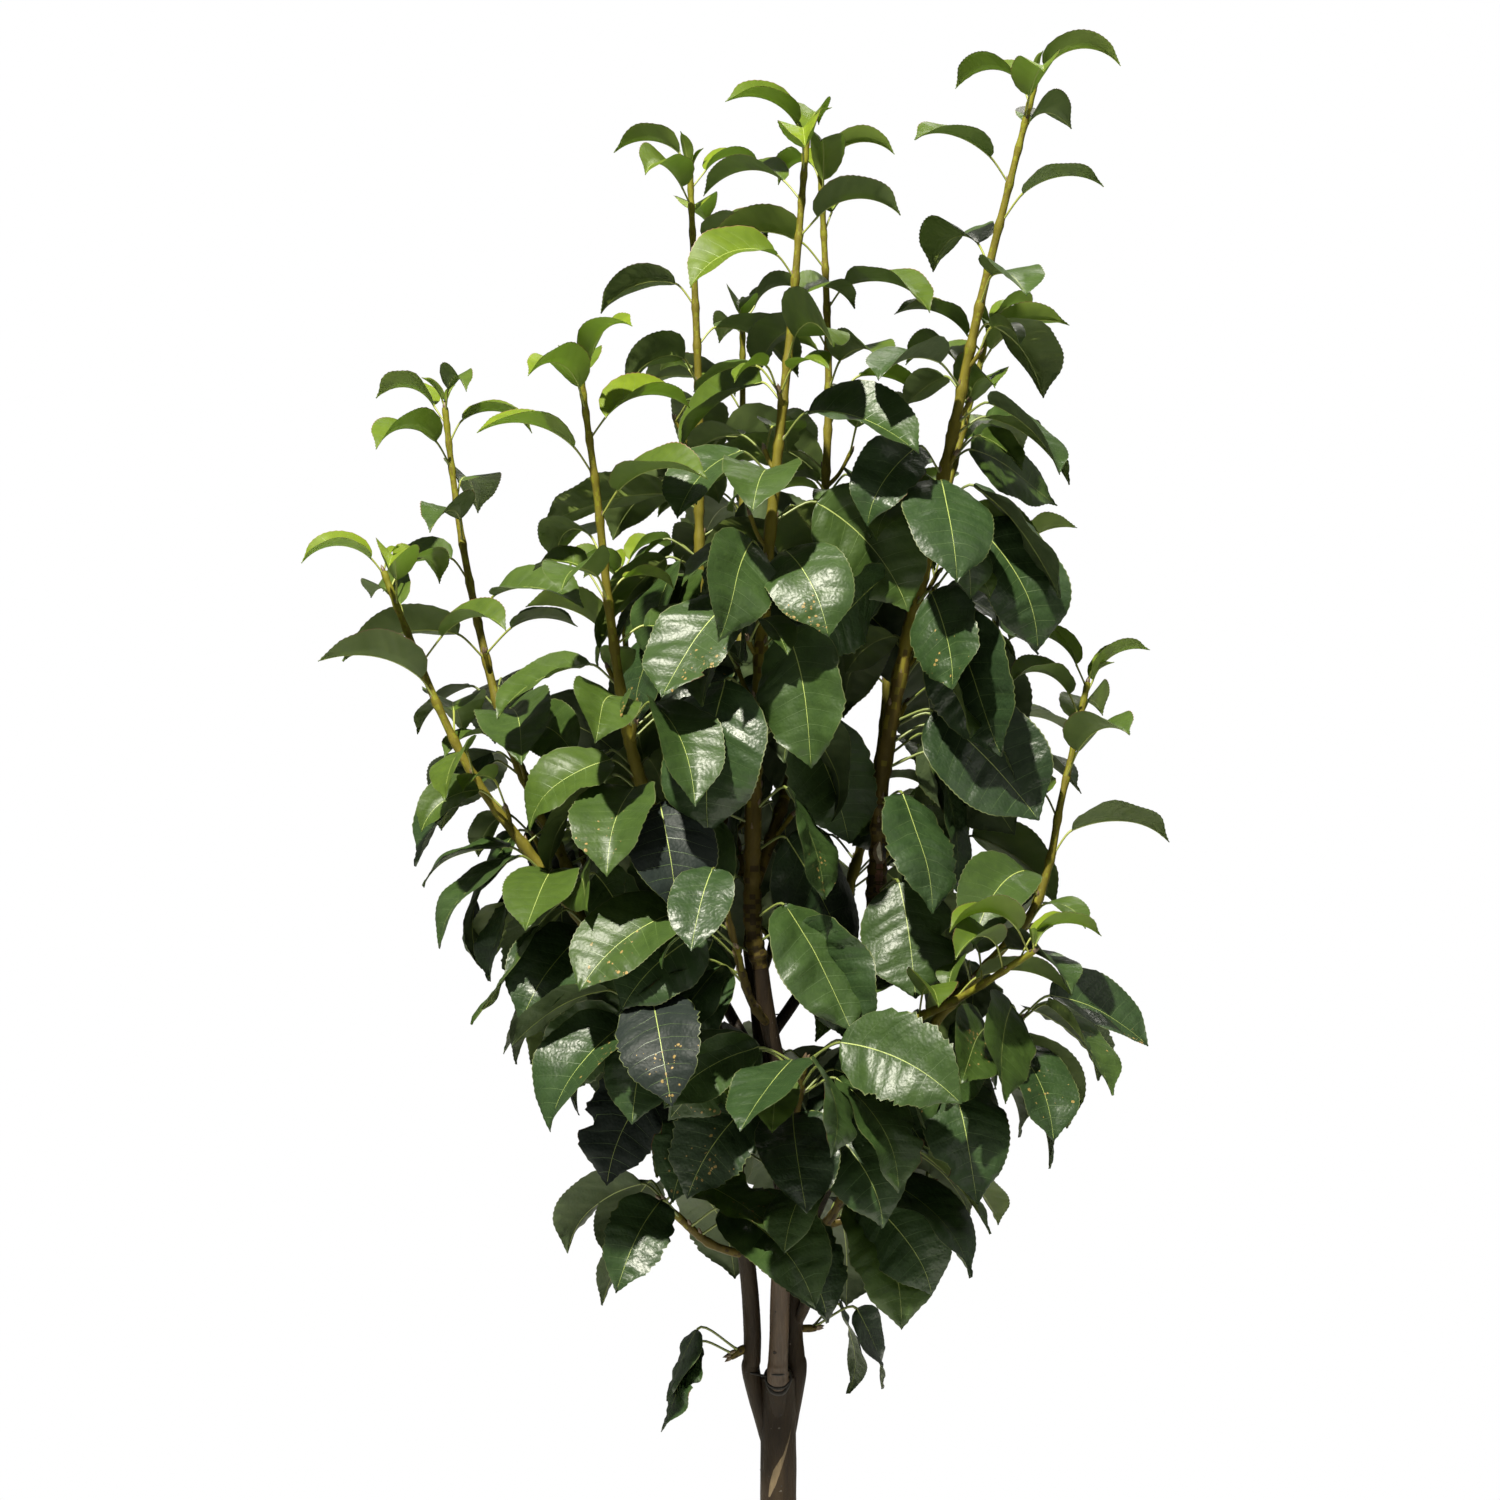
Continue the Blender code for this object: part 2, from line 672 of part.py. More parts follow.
def build_soil(collection):
    """The soil stands clear of the pot's wall and rises a little towards the trunk."""
    def wall(height):
        share = (height - POT_FLOOR) / (POT_HEIGHT - 0.003 - POT_FLOOR)
        return lerp(POT_BASE_RADIUS - POT_WALL, POT_RIM_RADIUS - POT_RIM_STEP - POT_WALL, share) - 2 * GAP

    profile = (
        (0.0, SOIL_LEVEL + SOIL_CROWN),
        (FLARE_RADIUS * 1.4, SOIL_LEVEL + SOIL_CROWN),
        (wall(SOIL_LEVEL) * 0.7, SOIL_LEVEL + SOIL_CROWN * 0.4),
        (wall(SOIL_LEVEL), SOIL_LEVEL),
        (wall(POT_FLOOR), POT_FLOOR + GAP),
        (0.0, POT_FLOOR + GAP),
    )
    return turned("soil", profile, POT_SIDES, material("soil", SOIL, 0.95), collection)


def fuse_tube(target, points, radii, sides):
    """Joins one more limb to the target."""
    limb = tube("limb", points, radii, sides, target.data.materials[0], helpers())
    boolean(target, "UNION", limb)
    bpy.data.objects.remove(limb)


def build_trunk(bark, space, collection):
    """The trunk with its root flare and shoulder, and a stub for each bough that leaves its fork."""
    top = Vector(TRUNK_TOP)
    foot = Vector((0.0, 0.0, TRUNK_FOOT))
    height = top.z - foot.z
    points, radii = [], []
    for share in (0.0, 0.25, 0.55, 1.0, 3.5):
        rise = share * FLARE_HEIGHT
        points.append(foot.lerp(top, rise / height))
        radii.append(lerp(TRUNK_RADIUS, TRUNK_TOP_RADIUS, rise / height)
                     + (FLARE_RADIUS - TRUNK_RADIUS) * max(0.0, 1 - share) ** 2)
    for depth, share in SHOULDER:
        points.append(foot.lerp(top, 1 - depth / height))
        radii.append(TRUNK_TOP_RADIUS * share)
    trunk = tube("trunk", points, radii, TRUNK_SIDES, bark, collection)
    space.add_limb(points, radii, "trunk")
    for limb in LIMBS:
        if limb.parent != "trunk":
            continue
        start, ahead = at_distance(limb_line(limb), 0.0)
        end = start - ahead * GAP
        bend = end - ahead * STUB_STRAIGHT
        inside = Vector((end.x * 0.3, end.y * 0.3, STUB_ROOT))
        radii = [limb.thick * 0.8, limb.thick * 1.05, limb.thick]
        fuse_tube(trunk, [inside, bend, end], radii, TRUNK_SIDES)


def limb_line(limb):
    return smooth_route(limb.route, ROUTE_STEPS)


def low_route(low, parent_line):
    """A low shoot leaves its parent's axis level and sweeps up."""
    start = next(a.lerp(b, (low.height - a.z) / (b.z - a.z))
                 for a, b in zip(parent_line, parent_line[1:]) if a.z <= low.height < b.z)
    heading = math.radians(low.heading)
    out = Vector((math.cos(heading), math.sin(heading), 0.0))
    return (start, start + out * low.reach * 0.45 + Vector((0, 0, low.rise * 0.25)),
            start + out * low.reach + Vector((0, 0, low.rise)))


def seat(piece, parent_points, parent_radii, sides):
    """Cuts a side limb clear of its parent, so that it meets the parent's bark."""
    surface = piece.data.materials[0]
    cutter = tube("cutter", parent_points, [r + GAP for r in parent_radii], sides, surface, helpers())
    boolean(piece, "DIFFERENCE", cutter)
    bpy.data.objects.remove(cutter)
    keep_largest_piece(piece.data)


class Mass:
    """A mass of leafy shoots: the first line is its stem and the others are side shoots."""

    def __init__(self, name, stem, seed, parent, base_age):
        self.name = name
        self.lines = [stem]
        self.seeds = [seed]
        self.parent = parent
        self.base_age = base_age


def build_boughs(bark, space, collection):
    """The bare stretch of every limb. Returns their lines and radii, and a mass for each limb's tip."""
    boughs, masses = {}, []
    for limb in LIMBS:
        line = limb_line(limb)
        if limb.parent != "trunk":
            line[0] = nearest(boughs[limb.parent][0], line[0])
        bare, leafy = split(line, tapered(line, limb.thick, limb.thin), limb.bare)
        bough = tube("bough_" + limb.name, *bare, LIMB_SIDES, bark, collection)
        if limb.parent != "trunk":
            seat(bough, *boughs[limb.parent], LIMB_SIDES)
        if limb.name == PRUNED_BOUGH:
            stump = [Vector(p) for p in PRUNED_ROUTE], [PRUNED_RADIUS] * 3
            fuse_tube(bough, *stump, LIMB_SIDES)
            space.add_limb(*stump, "stump")
        boughs[limb.name] = bare
        space.add_limb(*bare, "bough_" + limb.name)
        masses.append(Mass(limb.name, leafy, limb.seed, None, 0.0))
    return boughs, masses


def add_shoots(boughs, masses):
    """Gives the masses their side shoots, and adds a mass for each low shoot and sprig."""
    named = {mass.name: mass for mass in masses}
    for side in SIDES:
        line = smooth_route(side.route, ROUTE_STEPS)
        stem = named[side.mass].lines[0][0]
        line[0] = nearest(stem, line[0])
        named[side.mass].lines.append((line, tapered(line, side.thick, side.thin)))
        named[side.mass].seeds.append(side.seed)
    for low in LOW_SHOOTS + SPRIGS:
        line = smooth_route(low_route(low, boughs[low.parent][0]), ROUTE_STEPS)
        stem = (line, tapered(line, LOW_THICK, LOW_THIN))
        masses.append(Mass(low.name, stem, low.seed, low.parent, SPRIG_AGE if low in SPRIGS else LOW_AGE))


def build_stems(mass, boughs, green, space, collection):
    """The mass's bare shoots as separate tubes, the first seated on its parent."""
    made = [tube(f"{mass.name}_{i}", points, radii, SHOOT_SIDES, green, collection)
            for i, (points, radii) in enumerate(mass.lines)]
    if mass.parent:
        seat(made[0], *boughs[mass.parent], LIMB_SIDES)
    for points, radii in mass.lines:
        space.add_limb(points, radii, mass.name)
    return made


def grow_mass(mass, space):
    """The leaves of all shoots of a mass, each shoot by its own seed."""
    leaves = []
    for (points, _), seed in zip(mass.lines, mass.seeds):
        leaves += grow_leaves(random.Random(seed), points, space, mass.name, mass.base_age)
    return leaves


def build_mass(mass, stems, leaves, green, collection):
    """Joins the leaves and side shoots of a mass to its stem."""
    parts = bpy.data.collections.new(mass.name + "_parts")
    bpy.context.scene.collection.children.link(parts)
    for i, leaf in enumerate(leaves):
        leaf_object(f"{mass.name}_leaf_{i}", leaf, green, parts)
    for piece in stems[1:]:
        collection.objects.unlink(piece)
        parts.objects.link(piece)
    stem = stems[0]
    stem.name = "leaves_" + mass.name
    boolean(stem, "UNION", collection=parts)
    keep_largest_piece(stem.data)
    for piece in list(parts.objects):
        bpy.data.objects.remove(piece)
    bpy.data.collections.remove(parts)


def build_tree(collection):
    """All limbs come first, so that the leaves that then grow find what is in their way."""
    bark = material("bark", BARK, 0.8)
    green = material("leaf", LEAF_GREEN, 0.45)
    space = Space()
    build_trunk(bark, space, collection)
    boughs, masses = build_boughs(bark, space, collection)
    add_shoots(boughs, masses)
    stems = [build_stems(mass, boughs, green, space, collection) for mass in masses]
    for mass, stem in zip(masses, stems):
        leaves = grow_mass(mass, space)
        build_mass(mass, stem, leaves, green, collection)


def main():
    for old in list(bpy.data.objects):
        bpy.data.objects.remove(old)
    collection = bpy.data.collections.new("potted_pear_tree")
    bpy.context.scene.collection.children.link(collection)
    build_pot(collection)
    build_soil(collection)
    build_tree(collection)
    bpy.data.objects.remove(triangle())


main()
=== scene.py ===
"""The looks of the potted pear tree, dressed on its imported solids.

Limbs and leaves grow here by the same seeded rule as the solids, from the same named sizes. Each then gets
its real form: toothed, veined leaves on curved stalks, ringed shoots with buds, bark, clay and soil.
"""

import json
import math
import random
from collections import namedtuple

import bmesh
import bpy
import numpy as np
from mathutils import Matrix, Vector, noise
from mathutils.bvhtree import BVHTree

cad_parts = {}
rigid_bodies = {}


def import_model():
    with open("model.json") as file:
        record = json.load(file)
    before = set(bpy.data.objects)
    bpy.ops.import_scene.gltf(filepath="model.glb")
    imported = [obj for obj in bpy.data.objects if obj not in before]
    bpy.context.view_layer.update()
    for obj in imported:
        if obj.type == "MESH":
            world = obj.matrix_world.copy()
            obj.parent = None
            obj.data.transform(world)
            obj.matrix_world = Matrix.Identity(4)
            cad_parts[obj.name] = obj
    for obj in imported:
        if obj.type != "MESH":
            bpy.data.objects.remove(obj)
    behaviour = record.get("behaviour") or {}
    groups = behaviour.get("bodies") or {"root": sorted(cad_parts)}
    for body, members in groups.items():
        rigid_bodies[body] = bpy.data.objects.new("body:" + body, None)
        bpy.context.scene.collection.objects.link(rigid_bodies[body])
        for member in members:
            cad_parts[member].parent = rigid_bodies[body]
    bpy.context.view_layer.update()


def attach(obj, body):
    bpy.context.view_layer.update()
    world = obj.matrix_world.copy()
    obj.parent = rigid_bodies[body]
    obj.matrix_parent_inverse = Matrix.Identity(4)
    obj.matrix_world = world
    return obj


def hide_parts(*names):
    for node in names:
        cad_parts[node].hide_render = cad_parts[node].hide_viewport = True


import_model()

GAP = 0.0003  # clearance between pieces that touch

# The pot is a turned clay pot with a rim band, filled with soil to a little below the rim.
POT_HEIGHT = 0.270
POT_RIM_RADIUS = 0.152
POT_RIM_BAND = 0.046
POT_RIM_STEP = 0.007
POT_BASE_RADIUS = 0.104
POT_WALL = 0.008
POT_FLOOR = 0.012
DRAIN_HOLES = 4
DRAIN_RADIUS = 0.007
DRAIN_CIRCLE = 0.055
SOIL_LEVEL = 0.240
SOIL_CROWN = 0.006  # the soil rises this much towards the trunk

# The trunk runs from the soil to the fork, where three boughs leave it on short stubs.
TRUNK_FOOT = SOIL_LEVEL + SOIL_CROWN + GAP
FLARE_RADIUS = 0.024
FLARE_HEIGHT = 0.045
TRUNK_RADIUS = 0.0150
TRUNK_TOP = (-0.001, 0.000, 0.566)
TRUNK_TOP_RADIUS = 0.0130
# The trunk's shoulder is rounded, as (depth below its top, share of its radius there).
SHOULDER = ((0.024, 1.0), (0.010, 0.93), (0.003, 0.70), (0.0, 0.30))
STUB_ROOT = 0.500  # height at which the stubs start inside the trunk
STUB_STRAIGHT = 0.014

# The stump of a pruned twig stands on a bough.
PRUNED_BOUGH = "tall_right"
PRUNED_ROUTE = ((0.014, 0.009, 0.598), (0.020, -0.002, 0.613), (0.026, -0.008, 0.637))
PRUNED_RADIUS = 0.0042

ROUTE_STEPS = 2  # samples between two points of a route

# A limb runs along its route from its parent to its tip. It is bare up to the share named bare, and that
# stretch is the bough. The rest is the stem of the mass of leaves that the limb carries.
Limb = namedtuple("Limb", "name parent route thick thin bare seed")
LIMBS = (
    Limb("left", "trunk",
         ((-0.0205, -0.001, 0.572), (-0.0235, -0.007, 0.635), (-0.054, -0.035, 0.854),
          (-0.110, -0.068, 1.033), (-0.133, -0.085, 1.209), (-0.145, -0.095, 1.300)),
         0.0066, 0.0021, 0.52, 46),
    Limb("leader", "trunk",
         ((-0.001, -0.011, 0.572), (0.001, -0.018, 0.640), (0.004, -0.036, 0.760),
          (-0.020, -0.062, 0.905), (-0.012, -0.066, 1.130), (0.008, -0.052, 1.337),
          (0.020, -0.042, 1.480)),
         0.0074, 0.0021, 0.33, 136),
    Limb("tall_right", "trunk",
         ((0.011, 0.010, 0.572), (0.015, 0.010, 0.640), (0.069, -0.008, 0.878),
          (0.078, -0.020, 1.020), (0.127, -0.036, 1.256), (0.150, -0.042, 1.365),
          (0.188, -0.046, 1.518)),
         0.0082, 0.0021, 0.33, 272),
    Limb("outer_left", "left",
         ((-0.031, -0.015, 0.715), (-0.064, -0.022, 0.785), (-0.133, -0.035, 0.885),
          (-0.224, -0.040, 1.004), (-0.271, -0.036, 1.103), (-0.294, -0.030, 1.160)),
         0.0056, 0.0021, 0.36, 209),
    Limb("outer_right", "tall_right",
         ((0.025, 0.007, 0.680), (0.075, -0.020, 0.766), (0.124, -0.030, 0.836),
          (0.188, -0.028, 0.908), (0.209, -0.018, 0.985), (0.231, -0.002, 1.078)),
         0.0050, 0.0020, 0.38, 205),
    Limb("spread_right", "tall_right",
         ((0.050, -0.001, 0.795), (0.084, -0.050, 0.822), (0.130, -0.082, 0.846),
          (0.183, -0.110, 0.882)),
         0.0042, 0.0020, 0.24, 61),
    Limb("back", "tall_right",
         ((0.016, 0.009, 0.630), (-0.004, 0.044, 0.730), (-0.026, 0.072, 0.905),
          (-0.058, 0.112, 1.103), (-0.062, 0.128, 1.300), (-0.069, 0.130, 1.480)),
         0.0064, 0.0021, 0.30, 293),
    Limb("back_right", "tall_right",
         ((0.062, -0.004, 0.850), (0.109, 0.066, 0.900), (0.155, 0.118, 1.030),
          (0.176, 0.140, 1.165)),
         0.0044, 0.0020, 0.26, 134),
    Limb("rear_left", "back",
         ((-0.010, 0.054, 0.780), (-0.070, 0.125, 0.885), (-0.112, 0.185, 1.020),
          (-0.125, 0.215, 1.170)),
         0.0046, 0.0020, 0.26, 1),
    Limb("rear_right", "back",
         ((-0.012, 0.056, 0.800), (0.045, 0.125, 0.890), (0.082, 0.190, 1.030),
          (0.094, 0.215, 1.215)),
         0.0046, 0.0020, 0.26, 15),
)

# A side shoot leaves the stem of a mass and is fused to it.
Side = namedtuple("Side", "mass route thick thin seed")
SIDES = (
    Side("outer_left",
         ((-0.138, -0.036, 0.892), (-0.165, -0.004, 0.953), (-0.208, 0.034, 1.043),
          (-0.241, 0.058, 1.181), (-0.256, 0.068, 1.290)), 0.0042, 0.0021, 6),
    Side("leader",
         ((-0.020, -0.064, 0.925), (0.006, -0.010, 1.000), (0.026, 0.036, 1.111),
          (0.038, 0.056, 1.295), (0.032, 0.060, 1.470)), 0.0044, 0.0021, 302),
    Side("tall_right",
         ((0.078, -0.020, 1.020), (0.100, 0.018, 1.120), (0.139, 0.056, 1.265),
          (0.160, 0.072, 1.345)), 0.0042, 0.0020, 245),
    Side("back",
         ((-0.036, 0.084, 0.980), (-0.030, 0.150, 1.080), (-0.028, 0.195, 1.230),
          (-0.028, 0.204, 1.372)), 0.0040, 0.0020, 14),
)

# A low shoot leaves a bough at a height, on a compass heading (0 is +X, 90 is +Y), and grows out and up.
Low = namedtuple("Low", "name parent height heading reach rise seed")
LOW_SHOOTS = (
    Low("low_front", "leader", 0.735, -80, 0.080, 0.070, 206),
    Low("high_front", "leader", 0.825, -115, 0.080, 0.100, 334),
    Low("low_front_left", "left", 0.770, -128, 0.100, 0.070, 12),
    Low("low_left", "left", 0.650, 205, 0.070, 0.045, 178),
    Low("high_left", "outer_left", 0.850, 120, 0.085, 0.100, 173),
    Low("low_front_right", "tall_right", 0.660, -60, 0.095, 0.100, 117),
    Low("low_right", "outer_right", 0.755, -15, 0.115, 0.075, 106),
    Low("under_right", "tall_right", 0.670, -15, 0.095, 0.035, 246),
    Low("low_back_right", "tall_right", 0.700, 40, 0.120, 0.090, 310),
    Low("low_back", "back", 0.700, 95, 0.105, 0.080, 45),
    Low("low_back_left", "back", 0.760, 165, 0.115, 0.080, 120),
    Low("high_back", "back", 0.845, 70, 0.080, 0.110, 8),
)
LOW_THICK = 0.0034
LOW_THIN = 0.0020
BARE_FOOT = 0.012  # the part of every shoot nearest to its foot that bears no leaf

# A sprig is a short spur low on a limb with a few leaves.
SPRIGS = (
    Low("sprig_left", "left", 0.580, 178, 0.016, -0.008, 710),
    Low("sprig_right", "tall_right", 0.592, 5, 0.018, 0.000, 885),
)

# Leaves stand in a spiral on a shoot, one to a node near its tip and a few to a spur further down.
SPIRAL = math.radians(144)
FIRST_NODE = 0.004
FIRST_STEP = 0.010
STEP_GROWTH = 1.4
INTERNODE = 0.031
SPUR_FROM = 0.260
SPUR_STAGGER = 0.009
SPUR_FAN = math.radians(54)
SPUR_LEAVES = (2, 3)
FULL_AGE = 0.420  # distance from the tip at which a leaf is fully grown and hangs
LOW_AGE = 0.70  # youngest age of a leaf on a low shoot
SPRIG_AGE = 1.0
OUTWARD = 0.30  # how far an old leaf turns from its place in the spiral to the outside of the crown
SPRIG_OUTWARD = 0.80  # the same for the leaves of a sprig
SPRIG_SIZE = 0.68
LIGHT_TURN = 0.75  # how far an old leaf rolls about its midrib until its face looks out of the crown
LIGHT_RISE = math.radians(35)
MOST_ROLL = math.radians(75)
WIDEST = 0.41  # where the blade is widest, as a share of its length
LEAF_THICK = 0.019  # share of the blade's length
OLD_SECTIONS = (0.28, 0.66)  # shares of the blade's length at which it has a cross-section
YOUNG_SECTIONS = (0.42,)
YOUNG = 0.40
PETIOLE_RADIUS = 0.0011
CLEAR = 0.0032  # half the depth of the space that each blade keeps to itself
CLEAR_WIDTH = 1.04
TRIES = 9
TRY_TURN = math.radians(13)  # each try turns a leaf this much further to the other side
LOWEST_LEAF = 0.500
CROWN_AXIS = (-0.010, 0.020)

Leaf = namedtuple(
    "Leaf", "root heading rise petiole start arch length width fold roll bend age"
)


def lerp(low, high, share):
    return low + (high - low) * share


def smooth_route(route, steps):
    """Points on a Catmull-Rom curve through the route."""
    points = [Vector(p) for p in route]
    ends = [2 * points[0] - points[1], *points, 2 * points[-1] - points[-2]]
    made = []
    for before, start, stop, after in zip(ends, ends[1:], ends[2:], ends[3:]):
        for i in range(steps):
            t = i / steps
            made.append(0.5 * (2 * start + (stop - before) * t
                               + (2 * before - 5 * start + 4 * stop - after) * t ** 2
                               + (3 * start - before - 3 * stop + after) * t ** 3))
    return [*made, points[-1]]


def lengths_along(points):
    """Distance of each point from the first, along the line."""
    total, made = 0.0, [0.0]
    for a, b in zip(points, points[1:]):
        total += (b - a).length
        made.append(total)
    return made


def at_distance(points, distance):
    """(point, direction) at that distance along the line."""
    for a, b in zip(points, points[1:]):
        step = (b - a).length
        if distance <= step:
            return a.lerp(b, distance / step), (b - a).normalized()
        distance -= step
    return points[-1].copy(), (points[-1] - points[-2]).normalized()


def tapered(points, thick, thin):
    """A radius for each point, from thick at the start to thin at the end."""
    along = lengths_along(points)
    return [lerp(thick, thin, (d / along[-1]) ** 1.15) for d in along]


def split(points, radii, share):
    """The line and its radii before and after a share of its length, with a square cut and a gap."""
    along = lengths_along(points)
    cut = share * along[-1]
    i = next(k for k, d in enumerate(along[1:]) if d > cut)
    a, b = points[i], points[i + 1]
    inside = (cut - along[i]) / (along[i + 1] - along[i])
    middle = a.lerp(b, lerp(0.25, 0.75, inside))
    half_gap = (b - a).normalized() * GAP / 2
    radius = lerp(radii[i], radii[i + 1], inside)
    return ((points[:i + 1] + [middle - half_gap], radii[:i + 1] + [radius]),
            ([middle + half_gap] + points[i + 1:], [radius] + radii[i + 1:]))


def nearest(points, place):
    """The point on the line that is nearest to the place."""
    found = []
    for a, b in zip(points, points[1:]):
        share = (place - a).dot(b - a) / (b - a).length_squared
        found.append(a.lerp(b, max(0.0, min(1.0, share))))
    return min(found, key=lambda p: (p - place).length)


def width_at(share):
    """The blade's width at a share of its length. It is 1 at its widest, and the tip is pointed."""
    if share < WIDEST:
        return math.sqrt(max(0.0, 1 - ((WIDEST - share) / WIDEST) ** 2))
    return (1 - ((share - WIDEST) / (1 - WIDEST)) ** 2.1) ** 0.95


def leaf_frames(leaf, shares):
    """(point, tangent, side, normal) on the midrib at each share of the blade's length, which rise."""
    steps = 24
    heading, angle = leaf.heading, leaf.start
    place = leaf.root + direction(leaf.heading, leaf.rise) * leaf.petiole
    wanted, made = list(shares), []
    for i in range(steps + 1):
        share = i / steps
        angle = leaf.start - leaf.arch * share
        heading = leaf.heading + leaf.bend * share
        tangent = direction(heading, angle)
        while wanted and wanted[0] <= share + 1e-9:
            side, normal = blade_axes(heading, angle, leaf.roll)
            made.append((place - tangent * leaf.length * (share - wanted.pop(0)), tangent, side, normal))
        place = place + tangent * leaf.length / steps
    return made


def direction(heading, rise):
    """The unit vector at that heading, that far above the level."""
    return Vector((math.cos(heading) * math.cos(rise), math.sin(heading) * math.cos(rise), math.sin(rise)))


def blade_axes(heading, angle, roll):
    """The blade's sideways axis and its upper face's normal."""
    side = Vector((-math.sin(heading), math.cos(heading), 0.0))
    normal = direction(heading, angle + math.pi / 2)
    return (side * math.cos(roll) + normal * math.sin(roll),
            normal * math.cos(roll) - side * math.sin(roll))


def leaf_rings(leaf, depth, widen, from_blade):
    """Cross-sections of a leaf, from the root of its petiole to its tip."""
    rings = []
    base = leaf.root + direction(leaf.heading, leaf.rise) * leaf.petiole
    if from_blade:
        rings.append([base])
    else:
        for place, radius, angle, roll in (
                (leaf.root, PETIOLE_RADIUS, leaf.rise, 0.0),
                (base, PETIOLE_RADIUS * 0.8, (leaf.rise + leaf.start) / 2, leaf.roll / 2)):
            side, normal = blade_axes(leaf.heading, angle, roll)
            rings.append([place + (side * math.cos(a) + normal * math.sin(a)) * radius
                          for a in (math.radians(30), math.radians(150), math.radians(-90))])
    shares = YOUNG_SECTIONS if leaf.age < YOUNG else OLD_SECTIONS
    frames = leaf_frames(leaf, (*shares, 1.0))
    for share, (place, _, side, normal) in zip(shares, frames):
        reach = leaf.width / 2 * width_at(share) * widen
        up = normal * (reach * math.sin(leaf.fold))
        out = side * (reach * math.cos(leaf.fold))
        rings.append([place + out + up, place + normal * depth, place - out + up, place - normal * depth])
    rings.append([frames[-1][0]])
    return rings


def loft(rings):
    """(points, faces) of a closed skin over rings of one, three or four points."""
    points = [p for ring in rings for p in ring]
    faces, first = [], 0
    for ring, following in zip(rings, rings[1:]):
        m, n = len(ring), len(following)
        a = [first + k for k in range(m)]
        b = [first + m + k for k in range(n)]
        faces += strip(a, b) if m == n else bridge(a, b)
        first += m
    if len(rings[0]) > 2:
        faces.append(tuple(reversed(range(len(rings[0])))))
    return points, faces


def strip(a, b):
    """Faces between two like rings. Every second diagonal leans the other way, so that a blade's upper and
    under side bend along the same lines."""
    made = []
    for k in range(len(a)):
        a0, a1 = a[k], a[(k + 1) % len(a)]
        b0, b1 = b[k], b[(k + 1) % len(b)]
        made += [(a0, a1, b1), (a0, b1, b0)] if k % 2 else [(a0, a1, b0), (a1, b1, b0)]
    return made


def bridge(a, b):
    """Faces between two rings with unlike numbers of points, either of which may be a single point."""
    made = []
    i = j = 0
    while i < len(a) or j < len(b):
        if j >= len(b) or (i < len(a) and (i + 1) / len(a) <= (j + 1) / len(b)):
            if len(a) > 1:
                made.append((a[i], a[(i + 1) % len(a)], b[j % len(b)]))
            i += 1
        else:
            if len(b) > 1:
                made.append((a[i % len(a)], b[(j + 1) % len(b)], b[j]))
            j += 1
    return made


def leaf_skin(leaf):
    """(points, faces) of a closed leaf with its petiole."""
    return loft(leaf_rings(leaf, leaf.length * LEAF_THICK / 2, 1.0, False))


class Space:
    """What has grown so far, so that nothing grows through it."""

    def __init__(self):
        self.items = []

    def add(self, points, faces, owner=None):
        centre = sum(points, Vector()) / len(points)
        reach = max((p - centre).length for p in points)
        self.items.append((centre, reach, BVHTree.FromPolygons(points, faces), owner))

    def add_limb(self, points, radii, owner):
        self.add(*loft([square(points, radii, i) for i in range(len(points))]), owner)

    def holds(self, points, faces, but=()):
        """True if what is there crosses the skin, apart from what the named owners have there."""
        centre = sum(points, Vector()) / len(points)
        reach = max((p - centre).length for p in points)
        tree = BVHTree.FromPolygons(points, faces)
        return any((centre - c).length < reach + r and tree.overlap(t)
                   for c, r, t, owner in self.items if owner not in but)


def square(points, radii, i):
    """The corners of a square that holds the limb's section at its point i, with a gap round it."""
    along = (points[min(i + 1, len(points) - 1)] - points[max(i - 1, 0)]).normalized()
    side = along.cross(Vector((0.0, 1.0, 0.0))).normalized() * (radii[i] + 2 * GAP)
    other = side.cross(along)
    return [points[i] + side * a + other * b for a, b in ((1, 1), (-1, 1), (-1, -1), (1, -1))]


def nodes_on(length):
    """Distances from the tip of a shoot at which leaves stand."""
    distance, step, made = FIRST_NODE, FIRST_STEP, []
    while distance < length:
        made.append(distance)
        distance += step
        step = min(step * STEP_GROWTH, INTERNODE)
    return made


def make_leaf(rng, root, heading, age, size):
    """A leaf of that age: young ones are small, narrow, folded and upright, and old ones hang."""
    length = lerp(0.054, 0.106, age ** 0.5) * size * rng.uniform(0.80, 1.12)
    start = math.radians(lerp(56, -46, age) + rng.uniform(-16, 16))
    arch = math.radians(lerp(92, 34, age) + rng.uniform(-14, 14))
    turn = LIGHT_TURN * age * roll_to_light(root, heading, start - arch / 2)
    return Leaf(
        root=root,
        heading=heading,
        rise=math.radians(lerp(58, 20, age) + rng.uniform(-8, 8)),
        petiole=lerp(0.018, 0.036, age ** 0.6) * rng.uniform(0.85, 1.15),
        start=start,
        arch=arch,
        length=length,
        width=length * lerp(0.56, 0.74, age) * rng.uniform(0.90, 1.10),
        fold=math.radians(lerp(36, 12, age) + rng.uniform(-6, 6)),
        roll=turn + math.radians(rng.uniform(-24, 24)),
        bend=math.radians(rng.uniform(-25, 25)),
        age=age,
    )


def roll_to_light(root, heading, angle):
    """The roll that turns the upper face of a blade at that heading and angle to the light outside."""
    side, normal = blade_axes(heading, angle, 0.0)
    light = direction(outward(root), LIGHT_RISE)
    roll = math.atan2(-side.dot(light), normal.dot(light))
    return max(-MOST_ROLL, min(MOST_ROLL, roll))


